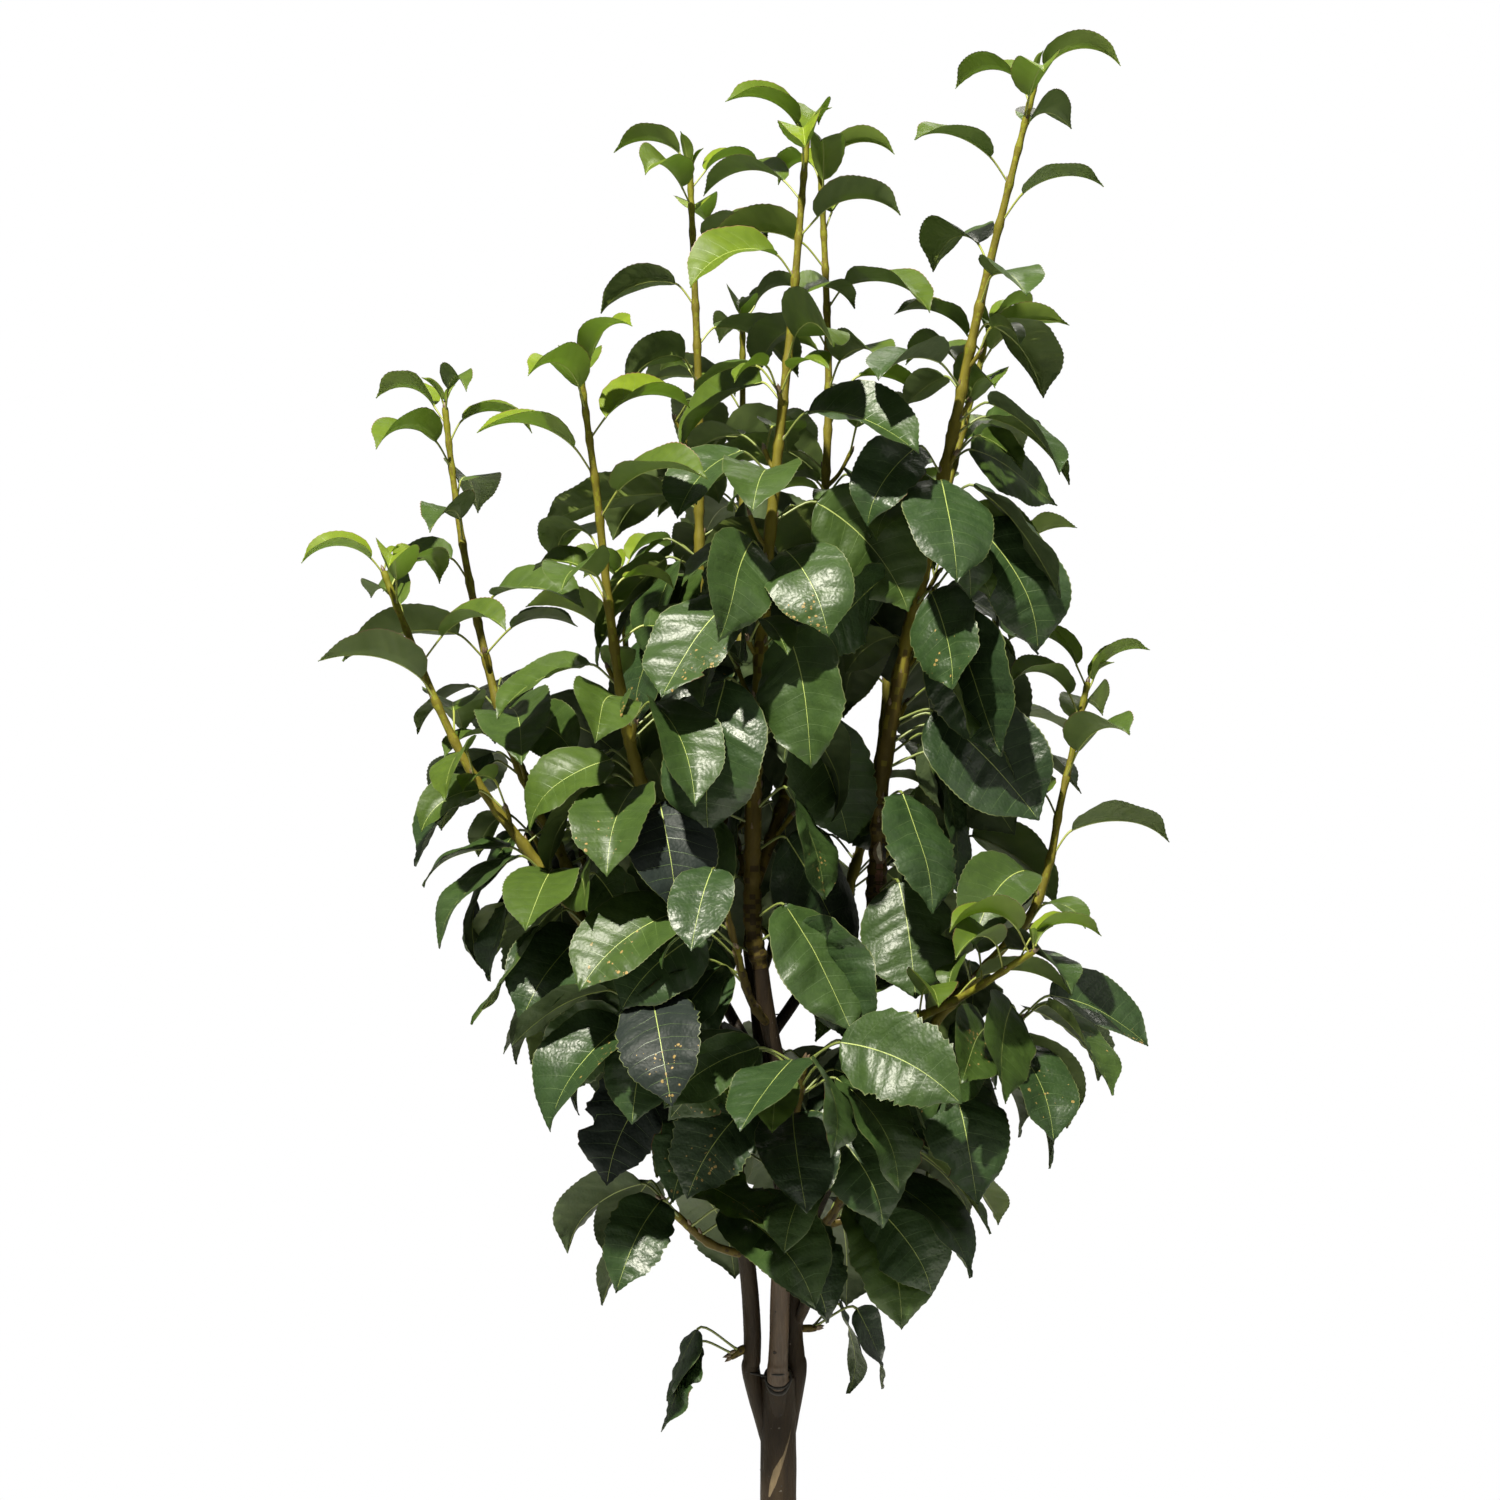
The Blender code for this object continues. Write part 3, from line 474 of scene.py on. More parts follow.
def leaf_fits(leaf, space, owner):
    """True if the blade and its petiole stay clear of all that has grown. Only the petiole's root may
    touch its own shoot and the leaves beside it."""
    points, faces = loft(leaf_rings(leaf, CLEAR, CLEAR_WIDTH, True))
    if min(p.z for p in points) < LOWEST_LEAF or space.holds(points, faces):
        return False
    root, base = leaf_rings(leaf, CLEAR, CLEAR_WIDTH, False)[:2]
    outer = [a.lerp(b, 0.35) for a, b in zip(root, base)]
    return not (space.holds(*loft([root, base]), (owner, owner + "_leaf"))
                or space.holds(*loft([outer, base]), (owner,)))


def outward(place):
    """The heading from the crown's axis to the place."""
    return math.atan2(place.y - CROWN_AXIS[1], place.x - CROWN_AXIS[0])


def turned_by(heading, aim, share):
    """The heading after a turn through a share of the angle to the aim."""
    return heading + share * math.remainder(aim - heading, math.tau)


def grow_leaves(rng, stem, space, owner, base_age):
    """The leaves of one shoot from its tip down to its bare foot, those that find no room left out."""
    line = list(reversed(stem))
    length = lengths_along(line)[-1]
    sprig = base_age == SPRIG_AGE
    phase = rng.uniform(0, math.tau)
    turn = rng.choice((-1, 1))
    made = []
    for k, distance in enumerate(nodes_on(length - BARE_FOOT)):
        age = min(1.0, base_age + (1 - base_age) * distance / FULL_AGE)
        spur = distance > SPUR_FROM or base_age > 0
        count = rng.randint(*SPUR_LEAVES) if spur else 1
        for n in range(count):
            off = n - (count - 1) / 2
            root, _ = at_distance(line, max(FIRST_NODE, distance + off * SPUR_STAGGER))
            heading = phase + turn * SPIRAL * k + off * SPUR_FAN + math.radians(rng.uniform(-14, 14))
            heading = turned_by(heading, outward(root), SPRIG_OUTWARD if sprig else OUTWARD * age)
            for attempt in range(TRIES):
                aim = heading + TRY_TURN * attempt * (-1) ** attempt
                leaf = make_leaf(rng, root, aim, age, SPRIG_SIZE if sprig else 1.0)
                if leaf_fits(leaf, space, owner):
                    space.add(*leaf_skin(leaf), owner + "_leaf")
                    made.append(leaf)
                    break
    return made


def limb_line(limb):
    """The smoothed route of a limb."""
    return smooth_route(limb.route, ROUTE_STEPS)


def low_route(low, parent_line):
    """A low shoot leaves its parent's axis level and sweeps up."""
    start = next(a.lerp(b, (low.height - a.z) / (b.z - a.z))
                 for a, b in zip(parent_line, parent_line[1:]) if a.z <= low.height < b.z)
    heading = math.radians(low.heading)
    out = Vector((math.cos(heading), math.sin(heading), 0.0))
    return (start, start + out * low.reach * 0.45 + Vector((0, 0, low.rise * 0.25)),
            start + out * low.reach + Vector((0, 0, low.rise)))


class Mass:
    """A mass of leafy shoots: the first line is its stem and the others are side shoots."""

    def __init__(self, name, stem, seed, base_age):
        self.name = name
        self.lines = [stem]
        self.seeds = [seed]
        self.base_age = base_age


def add_shoots(boughs, masses):
    """Gives the masses their side shoots, and adds a mass for each low shoot and sprig."""
    named = {mass.name: mass for mass in masses}
    for side in SIDES:
        line = smooth_route(side.route, ROUTE_STEPS)
        stem = named[side.mass].lines[0][0]
        line[0] = nearest(stem, line[0])
        named[side.mass].lines.append((line, tapered(line, side.thick, side.thin)))
        named[side.mass].seeds.append(side.seed)
    for low in LOW_SHOOTS + SPRIGS:
        line = smooth_route(low_route(low, boughs[low.parent][0]), ROUTE_STEPS)
        stem = (line, tapered(line, LOW_THICK, LOW_THIN))
        masses.append(Mass(low.name, stem, low.seed, SPRIG_AGE if low in SPRIGS else LOW_AGE))


# Finer twigs grow between the leaves of the shoots.
TWIG_FROM = 0.180  # distance of the first from the tip of a long shoot
TWIG_STEP = 0.046
TWIG_LENGTH = (0.010, 0.030)
TWIG_OUTWARD = 0.35  # how far a twig turns to the outside of the crown
TWIG_THICK = (0.0012, 0.0018)  # the radius of a young and of an old twig
TWIG_LEAVES = (1, 3)
TWIG_LEAF_GAP = 0.003
TWIG_LEAF_SIZE = (0.45, 0.78)
TWIG_LEAF_TRIES = 4


def grow_tree():
    """Grows all limbs, leaves and twigs. Returns the boughs and the masses with each shoot's leaves."""
    space = Space()
    space.add_limb(*trunk_line(), "trunk")
    boughs, masses = {}, []
    for limb in LIMBS:
        line = limb_line(limb)
        if limb.parent != "trunk":
            line[0] = nearest(boughs[limb.parent][0], line[0])
        bare, leafy = split(line, tapered(line, limb.thick, limb.thin), limb.bare)
        if limb.name == PRUNED_BOUGH:
            space.add_limb([Vector(p) for p in PRUNED_ROUTE], [PRUNED_RADIUS] * 3, "stump")
        boughs[limb.name] = bare
        space.add_limb(*bare, "bough_" + limb.name)
        masses.append(Mass(limb.name, leafy, limb.seed, 0.0))
    add_shoots(boughs, masses)
    for mass in masses:
        for points, radii in mass.lines:
            space.add_limb(points, radii, mass.name)
    for mass in masses:
        mass.leaves = [grow_leaves(random.Random(seed), points, space, mass.name, mass.base_age)
                       for (points, _), seed in zip(mass.lines, mass.seeds)]
    for mass in masses:
        mass.twigs = [twig for i, (points, _) in enumerate(mass.lines)
                      for twig in grow_twigs(random.Random(f"{mass.name} {i}"), points, space, mass)]
    return boughs, masses


def grow_twigs(rng, stem, space, mass):
    """Finer twigs with a rosette of small leaves each, in the room that the larger leaves left."""
    if mass.base_age == SPRIG_AGE:
        return []
    line = list(reversed(stem))
    length = lengths_along(line)[-1]
    made = []
    distance = TWIG_FROM * (1 - mass.base_age) + TWIG_STEP * rng.random()
    while distance < length - BARE_FOOT:
        root, down = at_distance(line, distance)
        heading = turned_by(rng.uniform(-math.pi, math.pi), outward(root), TWIG_OUTWARD)
        reach = rng.uniform(*TWIG_LENGTH)
        out = direction(heading, math.radians(rng.uniform(15, 50)))
        middle = root + out * reach * 0.55 - down * reach * 0.10
        points = [root, middle, root + out * reach - down * reach * 0.45]
        age = min(1.0, mass.base_age + (1 - mass.base_age) * distance / FULL_AGE)
        leaves = grow_rosette(rng, points, heading, age, space, mass.name)
        if leaves:
            thick = lerp(*TWIG_THICK, age)
            made.append((points, [thick * 1.25, thick, thick * 0.9], leaves))
        distance += TWIG_STEP * rng.uniform(0.7, 1.3)
    return made


def grow_rosette(rng, points, heading, age, space, owner):
    """The leaves at the end of a finer twig, smaller and younger than those of the shoot beside it."""
    made = []
    for n in range(rng.randint(*TWIG_LEAVES)):
        root, _ = at_distance(list(reversed(points)), 0.0015 + TWIG_LEAF_GAP * n)
        for _ in range(TWIG_LEAF_TRIES):
            aim = heading + rng.choice((-1, 1)) * math.radians(rng.uniform(10, 100))
            leaf_age = max(0.15, age * rng.uniform(0.5, 0.95))
            leaf = make_leaf(rng, root, aim, leaf_age, rng.uniform(*TWIG_LEAF_SIZE))
            if leaf_fits(leaf, space, owner):
                space.add(*leaf_skin(leaf), owner + "_leaf")
                made.append(leaf)
                break
    return made


def trunk_line():
    """The trunk's points and radii, the same as the solid's."""
    top = Vector(TRUNK_TOP)
    foot = Vector((0.0, 0.0, TRUNK_FOOT))
    height = top.z - foot.z
    points, radii = [], []
    for share in (0.0, 0.25, 0.55, 1.0, 3.5):
        rise = share * FLARE_HEIGHT
        points.append(foot.lerp(top, rise / height))
        radii.append(lerp(TRUNK_RADIUS, TRUNK_TOP_RADIUS, rise / height)
                     + (FLARE_RADIUS - TRUNK_RADIUS) * max(0.0, 1 - share) ** 2)
    for depth, share in SHOULDER:
        points.append(foot.lerp(top, 1 - depth / height))
        radii.append(TRUNK_TOP_RADIUS * share)
    return points, radii


# Meshes from arrays


class Pile:
    """Faces gathered from many small forms, for one joined piece."""

    def __init__(self, name, slot, surfaces):
        self.name, self.slot = name, slot
        self.surfaces = list(surfaces)
        self.points, self.faces, self.looks, self.count = [], [], [], 0

    def add(self, points, faces, look):
        """look is the surface's name for all the faces, or its index for each face."""
        if isinstance(look, str):
            look = self.surfaces.index(look)
        self.points.append(np.asarray(points, float))
        self.faces.append(np.asarray(faces, int) + self.count)
        self.looks.append(np.broadcast_to(look, len(faces)))
        self.count += len(points)

    def make(self, replaced=()):
        """Joins all that was added into one piece, in place of the named nodes."""
        sizes = np.concatenate([np.full(len(f), f.shape[1]) for f in self.faces])
        loops = np.concatenate([f.ravel() for f in self.faces])
        mesh = bpy.data.meshes.new(self.name)
        mesh.vertices.add(self.count)
        mesh.vertices.foreach_set("co", np.concatenate(self.points).astype(np.float32).ravel())
        mesh.loops.add(len(loops))
        mesh.loops.foreach_set("vertex_index", loops.astype(np.int32))
        mesh.polygons.add(len(sizes))
        mesh.polygons.foreach_set("loop_start", (np.cumsum(sizes) - sizes).astype(np.int32))
        mesh.polygons.foreach_set("material_index", np.concatenate(self.looks).astype(np.int32))
        mesh.polygons.foreach_set("use_smooth", np.ones(len(sizes), bool))
        for name in self.surfaces:
            mesh.materials.append(SURFACES[name])
        mesh.update(calc_edges=True)
        mesh.validate()
        return add_piece(self.name, mesh, replaced)


def add_object(name, data):
    """An object with that data, linked to the scene."""
    made = bpy.data.objects.new(name, data)
    bpy.context.scene.collection.objects.link(made)
    return made


def add_piece(name, mesh, replaced=()):
    """A piece of the part's one body, in place of the named nodes."""
    made = add_object(name, mesh)
    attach(made, "root")
    if replaced:
        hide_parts(*replaced)
    return made


def grid(rows, columns, ring=False):
    """Faces of a grid of points, closed into a ring across its columns if asked."""
    r = np.arange(rows - 1)[:, None]
    c = np.arange(columns if ring else columns - 1)[None, :]
    a = r * columns + c
    b = r * columns + (c + 1) % columns
    return np.stack([a, b, b + columns, a + columns], -1).reshape(-1, 4)


def add_strip(pile, lines, look, turned=False):
    """The faces between lines of points that run side by side."""
    faces = grid(len(lines[0]), len(lines))
    pile.add(np.stack(lines, 1).reshape(-1, 3), faces[:, ::-1] if turned else faces, look)


def fan(sides, turned=False):
    """Faces between a ring of points and the one in its middle, which follows them."""
    faces = [(i, (i + 1) % sides, sides) for i in range(sides)]
    return [(b, a, middle) for a, b, middle in faces] if turned else faces


def smoothstep(low, high, x):
    """0 below low, 1 above high and a smooth rise between them."""
    t = np.clip((x - low) / (high - low), 0.0, 1.0)
    return t * t * (3 - 2 * t)


def fine_line(points, radii, spacing):
    """The line as arrays of points and radii, curved smoothly through its points at about that spacing."""
    along = lengths_along(points)
    steps = max(2, round(along[-1] / (len(points) - 1) / spacing))
    fine = smooth_route(points, steps)
    shares = np.linspace(0, len(points) - 1, len(fine))
    return np.array(fine), np.interp(shares, np.arange(len(points)), radii)


def run_along(points):
    """Distance of each point of an array from the first, along the line."""
    return np.concatenate([[0], np.cumsum(np.linalg.norm(np.diff(points, axis=0), axis=1))])


def carried_axes(points):
    """Two crosswise unit vectors at each point that turn with the line and don't twist round it."""
    tangents = np.gradient(points, axis=0)
    tangents /= np.linalg.norm(tangents, axis=1)[:, None]
    first = np.cross(tangents[0], (0.0, 1.0, 0.0) if abs(tangents[0][1]) < 0.9 else (1.0, 0.0, 0.0))
    sides = [first / np.linalg.norm(first)]
    for t in tangents[1:]:
        side = sides[-1] - t * np.dot(sides[-1], t)
        sides.append(side / np.linalg.norm(side))
    sides = np.array(sides)
    return sides, np.cross(tangents, sides)


def add_tube(pile, points, radii, sides, look, relief=None, caps=True):
    """A round form along the points. There is a radius for each point, and relief is added to it all round.
    Returns the points on its skin."""
    points = np.asarray(points, float)
    a, b = carried_axes(points)
    angles = np.arange(sides) * math.tau / sides
    reach = np.broadcast_to(np.asarray(radii, float)[:, None], (len(points), sides))
    if relief is not None:
        reach = reach + relief
    round_points = points[:, None] + reach[..., None] * (
        a[:, None] * np.cos(angles)[None, :, None] + b[:, None] * np.sin(angles)[None, :, None])
    pile.add(round_points.reshape(-1, 3), grid(len(points), sides, True), look)
    for end in (0, -1) if caps else ():
        cap_look = look if isinstance(look, str) else int(np.ravel(look)[end])
        pile.add(np.vstack([round_points[end], points[end]]), fan(sides, end == 0), cap_look)
    return round_points


# Surfaces

SURFACES = {}


def set_inputs(tree, node, **inputs):
    """Links each named input of a node to the output given for it, or sets it to the value given."""
    for name, value in inputs.items():
        socket = node.inputs[name.replace("_", " ")]
        if isinstance(value, bpy.types.NodeSocket):
            tree.links.new(value, socket)
        else:
            socket.default_value = value


def add_node(tree, kind, **inputs):
    """A new shader node of that kind with its inputs."""
    made = tree.nodes.new("ShaderNode" + kind)
    set_inputs(tree, made, **inputs)
    return made


def add_mix(tree, share, first, second):
    """The output of a mix of two shaders."""
    made = add_node(tree, "MixShader", Fac=share)
    tree.links.new(first, made.inputs[1])
    tree.links.new(second, made.inputs[2])
    return made.outputs["Shader"]


def add_ramp(tree, height, *stops):
    """The colour output of a ramp over a height between two stops, each a position and a colour."""
    made = add_node(tree, "ValToRGB", Fac=height)
    for element, (position, colour) in zip(made.color_ramp.elements, stops):
        element.position = position
        element.color = (*colour, 1.0)
    return made.outputs["Color"]


def add_noise(tree, place, scale, detail):
    """The height output of a noise of that scale."""
    return add_node(tree, "TexNoise", Scale=scale, Detail=detail, Vector=place).outputs["Fac"]


def add_mottle(tree, place, scale, colour, second):
    """The output of one colour that wanders towards another over a noise of that scale."""
    return add_ramp(tree, add_noise(tree, place, scale, 4.0), (0.30, colour), (0.70, second))


def add_bump(tree, layers):
    """Bumps on top of each other, each a height output, its strength and its depth in metres."""
    normal = None
    for height, strength, depth in layers:
        bump = add_node(tree, "Bump", Strength=strength, Distance=depth, Height=height)
        if normal:
            set_inputs(tree, bump, Normal=normal)
        normal = bump.outputs["Normal"]
    set_inputs(tree, tree.nodes["Principled BSDF"], Normal=normal)


def surface(name, colour, rough, mottle=0.0, scale=60.0, grain=0.0, grain_scale=900.0, shine=0.5, second=None,
            stretch=1.0):
    """A matt or glossy surface. Its colour wanders towards a second one, or is darkened by the share mottle,
    and a fine grain breaks its shine. The stretch draws both out upwards."""
    made = bpy.data.materials.new(name)
    made.use_nodes = True
    tree = made.node_tree
    shader = tree.nodes["Principled BSDF"]
    set_inputs(tree, shader, Base_Color=(*colour, 1.0), Roughness=rough, Specular_IOR_Level=shine)
    place = add_node(tree, "TexCoord").outputs["Object"]
    if stretch != 1.0:
        place = add_node(tree, "Mapping", Scale=(1.0, 1.0, 1.0 / stretch), Vector=place).outputs["Vector"]
    if mottle:
        other = second or [c * (1 - mottle) for c in colour]
        set_inputs(tree, shader, Base_Color=add_mottle(tree, place, scale, colour, other))
    if grain:
        add_bump(tree, [(add_noise(tree, place, grain_scale, 3.0), grain, 0.001)])
    SURFACES[name] = made
    return made


def leaf_surface(name, colour, old, rough, shine, glow, share):
    """One side of a leaf: mottled, crinkled between its finest veins, and more so when old. A share of the
    light passes through it in the glow's colour, unless the share is 0."""
    tree = surface(name, colour, rough, shine=shine).node_tree
    shader = tree.nodes["Principled BSDF"]
    place = tree.nodes["Texture Coordinate"].outputs["Object"]
    dark = [c * 0.88 for c in colour]
    pale = [c * k for c, k in zip(colour, (1.22, 1.16, 1.10))]
    set_inputs(tree, shader, Base_Color=add_mottle(tree, place, 110.0, dark, pale))
    cells = add_node(tree, "TexVoronoi")
    cells.feature = "SMOOTH_F1"
    set_inputs(tree, cells, Scale=430.0, Vector=place)
    add_bump(tree, [(add_noise(tree, place, 95.0, 3.0), lerp(0.05, 0.40, old), 0.0026),
                    (cells.outputs["Distance"], lerp(0.01, 0.26, old), 0.0012),
                    (add_noise(tree, place, 620.0, 2.0), lerp(0.01, 0.14, old), 0.0008)])
    if share:
        through = add_node(tree, "BsdfTranslucent", Color=(*glow, 1.0))
        mix = add_mix(tree, share, shader.outputs["BSDF"], through.outputs["BSDF"])
        set_inputs(tree, tree.nodes["Material Output"], Surface=mix)


def numbered(name, colours):
    """The names of the surfaces that are made from a list of colours."""
    return [f"{name}_{i}" for i in range(len(colours))]


# The upper sides of leaves from the youngest to the oldest, as plain base colours dealt out leaf by leaf.
TOPS = (
    (0.114, 0.162, 0.012),
    (0.070, 0.109, 0.010),
    (0.049, 0.081, 0.010),
    (0.036, 0.064, 0.010),
    (0.027, 0.051, 0.010),
    (0.021, 0.042, 0.010),
    (0.016, 0.034, 0.010),
    (0.012, 0.025, 0.009),
)
SLATE = (0.011, 0.016, 0.014)  # the bluish, dull tone of some of the oldest leaves in the low left masses: partly a waxy bloom, partly painted shade and a painted sky reflection
SLATE_TONE = len(TOPS)
SLATE_MASSES = ("low_left", "low_front_left", "left", "low_back_left")
UNDERS = ((0.100, 0.142, 0.026), (0.058, 0.087, 0.023), (0.040, 0.062, 0.023))
EDGES = ((0.130, 0.060, 0.022), (0.066, 0.084, 0.024))
RIBS = ((0.250, 0.300, 0.070), (0.230, 0.280, 0.075))
VEINS = ((0.130, 0.185, 0.032), (0.068, 0.112, 0.026), (0.052, 0.086, 0.028))
STALKS = ((0.190, 0.215, 0.036), (0.120, 0.150, 0.032))
SHOOTS = (
    (0.150, 0.148, 0.012),
    (0.118, 0.102, 0.011),
    (0.070, 0.052, 0.009),
    (0.034, 0.023, 0.007),
    (0.018, 0.013, 0.007),
)

for i, colour in enumerate(TOPS):
    old = i / (len(TOPS) - 1)
    leaf_surface(f"leaf_top_{i}", colour, old, lerp(0.48, 0.38, old), lerp(0.11, 0.36, old),
                 (0.40, 0.62, 0.05), max(0.0, lerp(0.26, 0.0, i / 5)))
# The slate tone, dark and dull: painted shade and a painted sky reflection on a waxy bloom.
leaf_surface(f"leaf_top_{SLATE_TONE}", SLATE, 1.0, 0.54, 0.14, (0.0, 0.0, 0.0), 0.0)
for i, colour in enumerate(UNDERS):
    leaf_surface(f"leaf_under_{i}", colour, i / 4, 0.62, 0.3, (0.62, 0.82, 0.20), lerp(0.32, 0.0, i / 2))

# After its name and colour, a surface has its roughness, how strongly and how finely its colour wanders, the
# strength and the scale of its grain, its shine, its second colour and its stretch.
for name, colours, rough in (("leaf_edge", EDGES, 0.5), ("rib", RIBS, 0.45), ("vein", VEINS, 0.45),
                             ("stalk", STALKS, 0.45)):
    for step, colour in zip(numbered(name, colours), colours):
        surface(step, colour, rough)
for step, colour in zip(numbered("shoot", SHOOTS), SHOOTS):
    surface(step, colour, 0.58, 0.35, 160.0, 0.35, 1200.0, 0.14, stretch=3.0)
surface("bud", (0.110, 0.075, 0.040), 0.5, 0.4, 400.0)
surface("bark", (0.028, 0.019, 0.010), 0.50, 0.55, 90.0, 0.7, 800.0, 0.14, (0.010, 0.007, 0.005), 6.0)
# Warmer, lighter bark: partly its own pinkish tone, partly painted light where the leader's foot and its
# collar are lit.
surface("bark_warm", (0.086, 0.055, 0.032), 0.46, 0.5, 120.0, 0.7, 800.0, 0.34, (0.028, 0.019, 0.013), 6.0)
surface("bark_grey", (0.080, 0.070, 0.056), 0.60, 0.35, 200.0, 0.5, 1200.0, 0.35, stretch=3.0)
surface("bark_dark", (0.012, 0.010, 0.008), 0.80, 0.3, 300.0)
surface("bark_tan", (0.120, 0.087, 0.045), 0.65, 0.45, 260.0, 0.4, 1500.0, 0.4, stretch=4.0)
surface("bark_red", (0.150, 0.062, 0.030), 0.60, 0.5, 260.0, 0.4, 1500.0, 0.4, stretch=3.0)
surface("cut_wood", (0.460, 0.440, 0.330), 0.70, 0.3, 600.0, 0.3, 1600.0)
surface("spot", (0.240, 0.150, 0.040), 0.55, 0.5, 700.0, 0.0, 900.0, 0.4, (0.120, 0.095, 0.026))
surface("scorch", (0.120, 0.062, 0.026), 0.70, 0.5, 500.0, 0.3, 1500.0, 0.3)
surface("clay", (0.350, 0.135, 0.068), 0.86, 0.5, 13.0, 0.7, 700.0, 0.2, (0.410, 0.200, 0.125))
surface("soil", (0.038, 0.026, 0.018), 0.95, 0.5, 260.0, 0.6, 1500.0, 0.2)
surface("soil_crumb", (0.060, 0.040, 0.026), 0.92, 0.6, 300.0, 0.5, 1800.0, 0.2)
surface("perlite", (0.520, 0.500, 0.460), 0.8, 0.2, 500.0)

LEAF_LOOKS = (numbered("leaf_top", (*TOPS, SLATE)) + numbered("leaf_under", UNDERS)
              + numbered("leaf_edge", EDGES) + ["scorch"])
RIB_LOOKS = numbered("rib", RIBS) + numbered("vein", VEINS) + numbered("stalk", STALKS) + ["spot"]
SHOOT_LOOKS = numbered("shoot", SHOOTS) + ["bud"]


# A leaf in its full form

LONG_ROWS, SHORT_ROWS = 40, 28  # rows of faces along the blade of a large and of a small leaf
SMALL = 0.062  # a blade shorter than this is a small one
ROWS_PER_VEIN = 4
RIB_HALF = 0.00050  # half the midrib's width at the base of a large blade
RIB_THINNEST = 0.00014
RIB_LIFT = 0.00006  # how far its sides stand above the blade
RIB_END = 0.97  # the share of the blade's length at which it ends
VEIN_HALF = 0.00019  # half a side vein's width at the midrib
VEIN_LIFT = 0.00012
SPOTS = (10, 34)  # on one leaf
SPOT_SIZE = (0.0004, 0.0014)  # the radius of the smallest, and how much larger the largest is
SPOT_SPREAD = (0.12, 1.1)  # of the cluster, as a share of the rows and in columns
SPOT_SIDES = 7
SPOT_HEIGHT = 0.0003
STALK_GIRTH = (0.0007, 0.00095)  # the radius of a young and of an old leaf's stalk
COLUMNS = np.array([-1.0, -0.982, -0.68, -0.32, 0.0, 0.32, 0.68, 0.982, 1.0])
MIDRIB = 4  # its place in COLUMNS
SAME_DIAGONAL = (0, 3, 2, 1)  # turns a face over, so that both sides of a blade bend along the same diagonals
SLANT = 0.24  # how far a row runs forward from the midrib to the edge, as a share of the blade's length
BASE_ROWS = 0.75  # how much closer the rows lie at the round base
TOOTH = 0.0008  # the depth of the notch between two teeth
BLADE_THICK = 0.00034
LARGE = 0.1  # the length of a blade whose veins, teeth and waves have their full size
STATIONS = 24  # steps along a blade at which its frame is worked out
FLATTEN = 0.25  # how much of its arch an old leaf loses, whose chord stays where it is
QUILT = 0.00085  # how far the blade of an old leaf rises between two veins
TWIST = 0.34  # the spread of an old blade's twist from its base to its tip, in radians
TURN, MOST_TURN = 0.8, 1.3  # the spread of its turn as a whole about its midrib, and the most that it turns
CURL = (-0.06, 0.42)  # how far its edges bend down, as a share of half its width
DROOP = (-0.9, 0.45)  # how strongly its tip bends up, or down below 0
WAVE = (0.0010, 0.0036)  # the height of the long wave along each edge
# Wrinkles, coarse and fine, each a range of heights, of half waves along the blade and of radians across it.
WRINKLES = (((0.0005, 0.0015), (3, 7), (-6, 6)), ((0.0002, 0.0005), (9, 16), (-8, 8)))
WRINKLES_EACH = 3
RAGGED_SHARE, BITTEN_SHARE, SPOTTED_SHARE = 0.28, 0.20, 0.22  # of the leaves that are old enough
RAGGED_AGE, BITTEN_AGE, SPOTTED_AGE = 0.6, 0.3, 0.55


